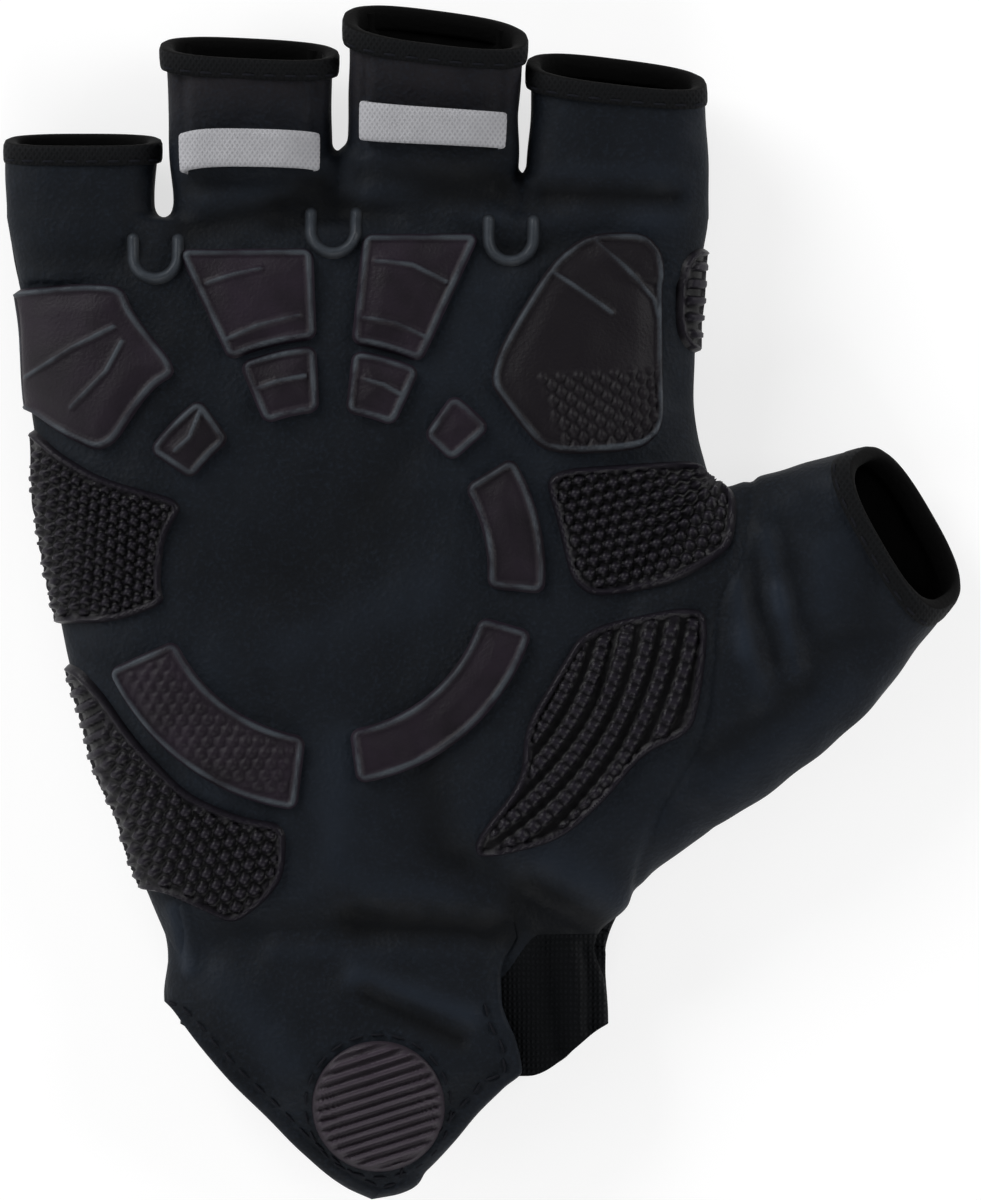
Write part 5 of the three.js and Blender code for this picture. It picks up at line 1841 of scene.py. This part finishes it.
def plain_cloth(name, base, grain_size):
    """Close cloth or thread: one dull colour with a fine tooth of that many millimetres."""
    material, add, place = started(name)
    grain = add("TexNoise", {"Vector": place, "Scale": per_metre(grain_size), "Detail": 3})
    inputs = {SHARE: grain, FROM: scaled_colour(base, 0.6), TO: scaled_colour(base, 1.5)}
    colour = add(inputs=inputs, **COLOUR_MIX)
    return finished(material, add, colour, 0.85, grain, 0.1, {"Specular IOR Level": 0.1})


def lit_acrylic(name):
    """A white acrylic sheet with a lamp behind it, so that the ground stays pale in the slits."""
    material, add, place = started(name)
    clouds = add("TexNoise", {"Vector": place, "Scale": per_metre(3), "Detail": 2})
    glow = {"Emission Color": (1, 1, 1, 1), "Emission Strength": FLOOR_GLOW, "Specular IOR Level": 0.1}
    return finished(material, add, scaled_colour(colours().floor, 0.4), 0.9, clouds, 0.01, glow)


# Each look's real material, and what makes it
LOOKS = {
    "palm": ("brushed synthetic suede", suede),
    "worn palm": ("handled synthetic suede", functools.partial(suede, worn=True)),
    "knit": ("warp knitted nylon", knitted),
    "padding": ("embossed polyurethane leather", padded_leather),
    "silicone": ("moulded silicone", silicone),
    # The ridges under the slits: dark silicone whose tops are painted grey as sheen
    "ridge": ("moulded grey silicone", functools.partial(silicone, light=True)),
    "binding": ("woven nylon binding", nylon_binding),
    "tape": ("woven reflective tape", reflective_tape),
    "patch": ("moulded soft rubber", patch_rubber),
    "thread": ("spun polyester thread", lambda name: plain_cloth(name, colours().thread, 0.3)),
    "lining": ("napped lining", lambda name: plain_cloth(name, colours().lining, 0.8)),
    "floor": ("lit white acrylic", lit_acrylic),
}


def look(name):
    """The material of that name, made the first time that it is asked for."""
    real_name, make = LOOKS[name]
    return bpy.data.materials.get(real_name) or make(real_name)


# Stage

CAMERA_LENS = 300
CAMERA_SENSOR = 36
CAMERA_AIM = (19.69, 51.92, 8.5)
PICTURE_HEIGHT = 177
FLOOR_SIZE = 4
# Each soft light: its place in metres, its size in metres and its power in watts
LIGHTS = table(
    ("x", "y", "z", "size", "power"),
    (-0.75, 0.75, 0.5, 0.7, 11),
    (0.95, 0.35, 0.45, 0.7, 7),
    (0.1, -1.0, 0.45, 0.8, 6),
    (-1.0, -0.3, 0.4, 0.7, 4),
)
WORLD_STRENGTH = 0.12
FLOOR_GLOW = 0.7


def build_stage():
    """The pale floor, the soft lights and the camera straight above."""
    scene = bpy.context.scene
    bpy.ops.mesh.primitive_plane_add(size=FLOOR_SIZE, location=(0, 0, 0))
    floor = bpy.context.object
    floor.name = "floor"
    floor.data.materials.append(look("floor"))
    scene.world = bpy.data.worlds.new("soft surround")
    scene.world.use_nodes = True
    background = scene.world.node_tree.nodes["Background"]
    background.inputs["Color"].default_value = (1, 1, 1, 1)
    background.inputs["Strength"].default_value = WORLD_STRENGTH
    for x, y, z, size, power in zip(*LIGHTS.values()):
        light = bpy.data.lights.new("soft light", "AREA")
        light.shape = "DISK"
        light.size = size
        light.energy = power
        lamp = bpy.data.objects.new("soft light", light)
        lamp.location = (x, y, z)
        lamp.rotation_euler = (-lamp.location).to_track_quat("-Z", "Y").to_euler()
        scene.collection.objects.link(lamp)
    camera = bpy.data.cameras.new("camera above")
    camera.lens = CAMERA_LENS
    camera.sensor_width = CAMERA_SENSOR
    camera.sensor_fit = "VERTICAL"
    camera.sensor_height = CAMERA_SENSOR
    eye = bpy.data.objects.new("camera above", camera)
    aim = place(CAMERA_AIM)[0]
    eye.location = (aim[0], aim[1], aim[2] + PICTURE_HEIGHT * MM * CAMERA_LENS / CAMERA_SENSOR)
    scene.collection.objects.link(eye)
    scene.camera = eye
    scene.view_settings.view_transform = "Standard"


# The add-on

class GLOVE_OT_add_shell(bpy.types.Operator):
    """Add the palm, the back, the cuff and the stalls of fingers and thumb"""

    bl_idname = "glove.add_shell"
    bl_label = "Shell"

    def execute(self, context):
        build_shell()
        return {"FINISHED"}


class GLOVE_OT_add_hems(bpy.types.Operator):
    """Add the bindings round the mouths"""

    bl_idname = "glove.add_hems"
    bl_label = "Hems"

    def execute(self, context):
        build_hems()
        return {"FINISHED"}


class GLOVE_OT_add_flap(bpy.types.Operator):
    """Add the flap over the wrist"""

    bl_idname = "glove.add_flap"
    bl_label = "Flap"

    def execute(self, context):
        build_flap()
        return {"FINISHED"}


class GLOVE_OT_add_patch(bpy.types.Operator):
    """Add the flap's ribbed round patch"""

    bl_idname = "glove.add_patch"
    bl_label = "Patch"

    def execute(self, context):
        build_patch()
        return {"FINISHED"}


class GLOVE_OT_add_cells(bpy.types.Operator):
    """Add the padded cells of the palm"""

    bl_idname = "glove.add_cells"
    bl_label = "Padded cells"

    def execute(self, context):
        build_cells()
        return {"FINISHED"}


class GLOVE_OT_add_grips(bpy.types.Operator):
    """Add the studded grips"""

    bl_idname = "glove.add_grips"
    bl_label = "Grips"

    def execute(self, context):
        build_grips()
        return {"FINISHED"}


class GLOVE_OT_add_ridges(bpy.types.Operator):
    """Add the ridges under the slits"""

    bl_idname = "glove.add_ridges"
    bl_label = "Ridges"

    def execute(self, context):
        build_ridges()
        return {"FINISHED"}


class GLOVE_OT_add_tabs(bpy.types.Operator):
    """Add the grey pull loops"""

    bl_idname = "glove.add_tabs"
    bl_label = "Pull loops"

    def execute(self, context):
        build_tabs()
        return {"FINISHED"}


class GLOVE_OT_add_stitches(bpy.types.Operator):
    """Add the sewing"""

    bl_idname = "glove.add_stitches"
    bl_label = "Stitches"

    def execute(self, context):
        build_stitches()
        return {"FINISHED"}


class GLOVE_OT_add_stage(bpy.types.Operator):
    """Add the floor, the lights and the camera"""

    bl_idname = "glove.add_stage"
    bl_label = "Stage"

    def execute(self, context):
        build_stage()
        return {"FINISHED"}


OPERATORS = (
    GLOVE_OT_add_shell,
    GLOVE_OT_add_hems,
    GLOVE_OT_add_flap,
    GLOVE_OT_add_patch,
    GLOVE_OT_add_cells,
    GLOVE_OT_add_grips,
    GLOVE_OT_add_ridges,
    GLOVE_OT_add_tabs,
    GLOVE_OT_add_stitches,
    GLOVE_OT_add_stage,
)


class GLOVE_PT_build(bpy.types.Panel):
    """The steps of the build and its sizes and colours"""

    bl_idname = "GLOVE_PT_build"
    bl_label = "Cycling glove"
    bl_space_type = "VIEW_3D"
    bl_region_type = "UI"
    bl_category = "Glove"

    def draw(self, context):
        for operator in OPERATORS:
            self.layout.operator(operator.bl_idname)
        for group in (context.scene.glove_sizes, context.scene.glove_colours):
            for name in group.__annotations__:
                self.layout.prop(group, name)


CLASSES = (GlovePG_sizes, GlovePG_colours, *OPERATORS, GLOVE_PT_build)


def register():
    for made in CLASSES:
        bpy.utils.register_class(made)
    bpy.types.Scene.glove_sizes = bpy.props.PointerProperty(type=GlovePG_sizes)
    bpy.types.Scene.glove_colours = bpy.props.PointerProperty(type=GlovePG_colours)


def unregister():
    del bpy.types.Scene.glove_sizes
    del bpy.types.Scene.glove_colours
    for made in reversed(CLASSES):
        bpy.utils.unregister_class(made)


def main():
    register()
    bpy.ops.glove.add_shell()
    bpy.ops.glove.add_hems()
    bpy.ops.glove.add_flap()
    bpy.ops.glove.add_patch()
    bpy.ops.glove.add_cells()
    bpy.ops.glove.add_grips()
    bpy.ops.glove.add_ridges()
    bpy.ops.glove.add_tabs()
    bpy.ops.glove.add_stitches()
    bpy.ops.glove.add_stage()


if __name__ == "__main__":
    main()
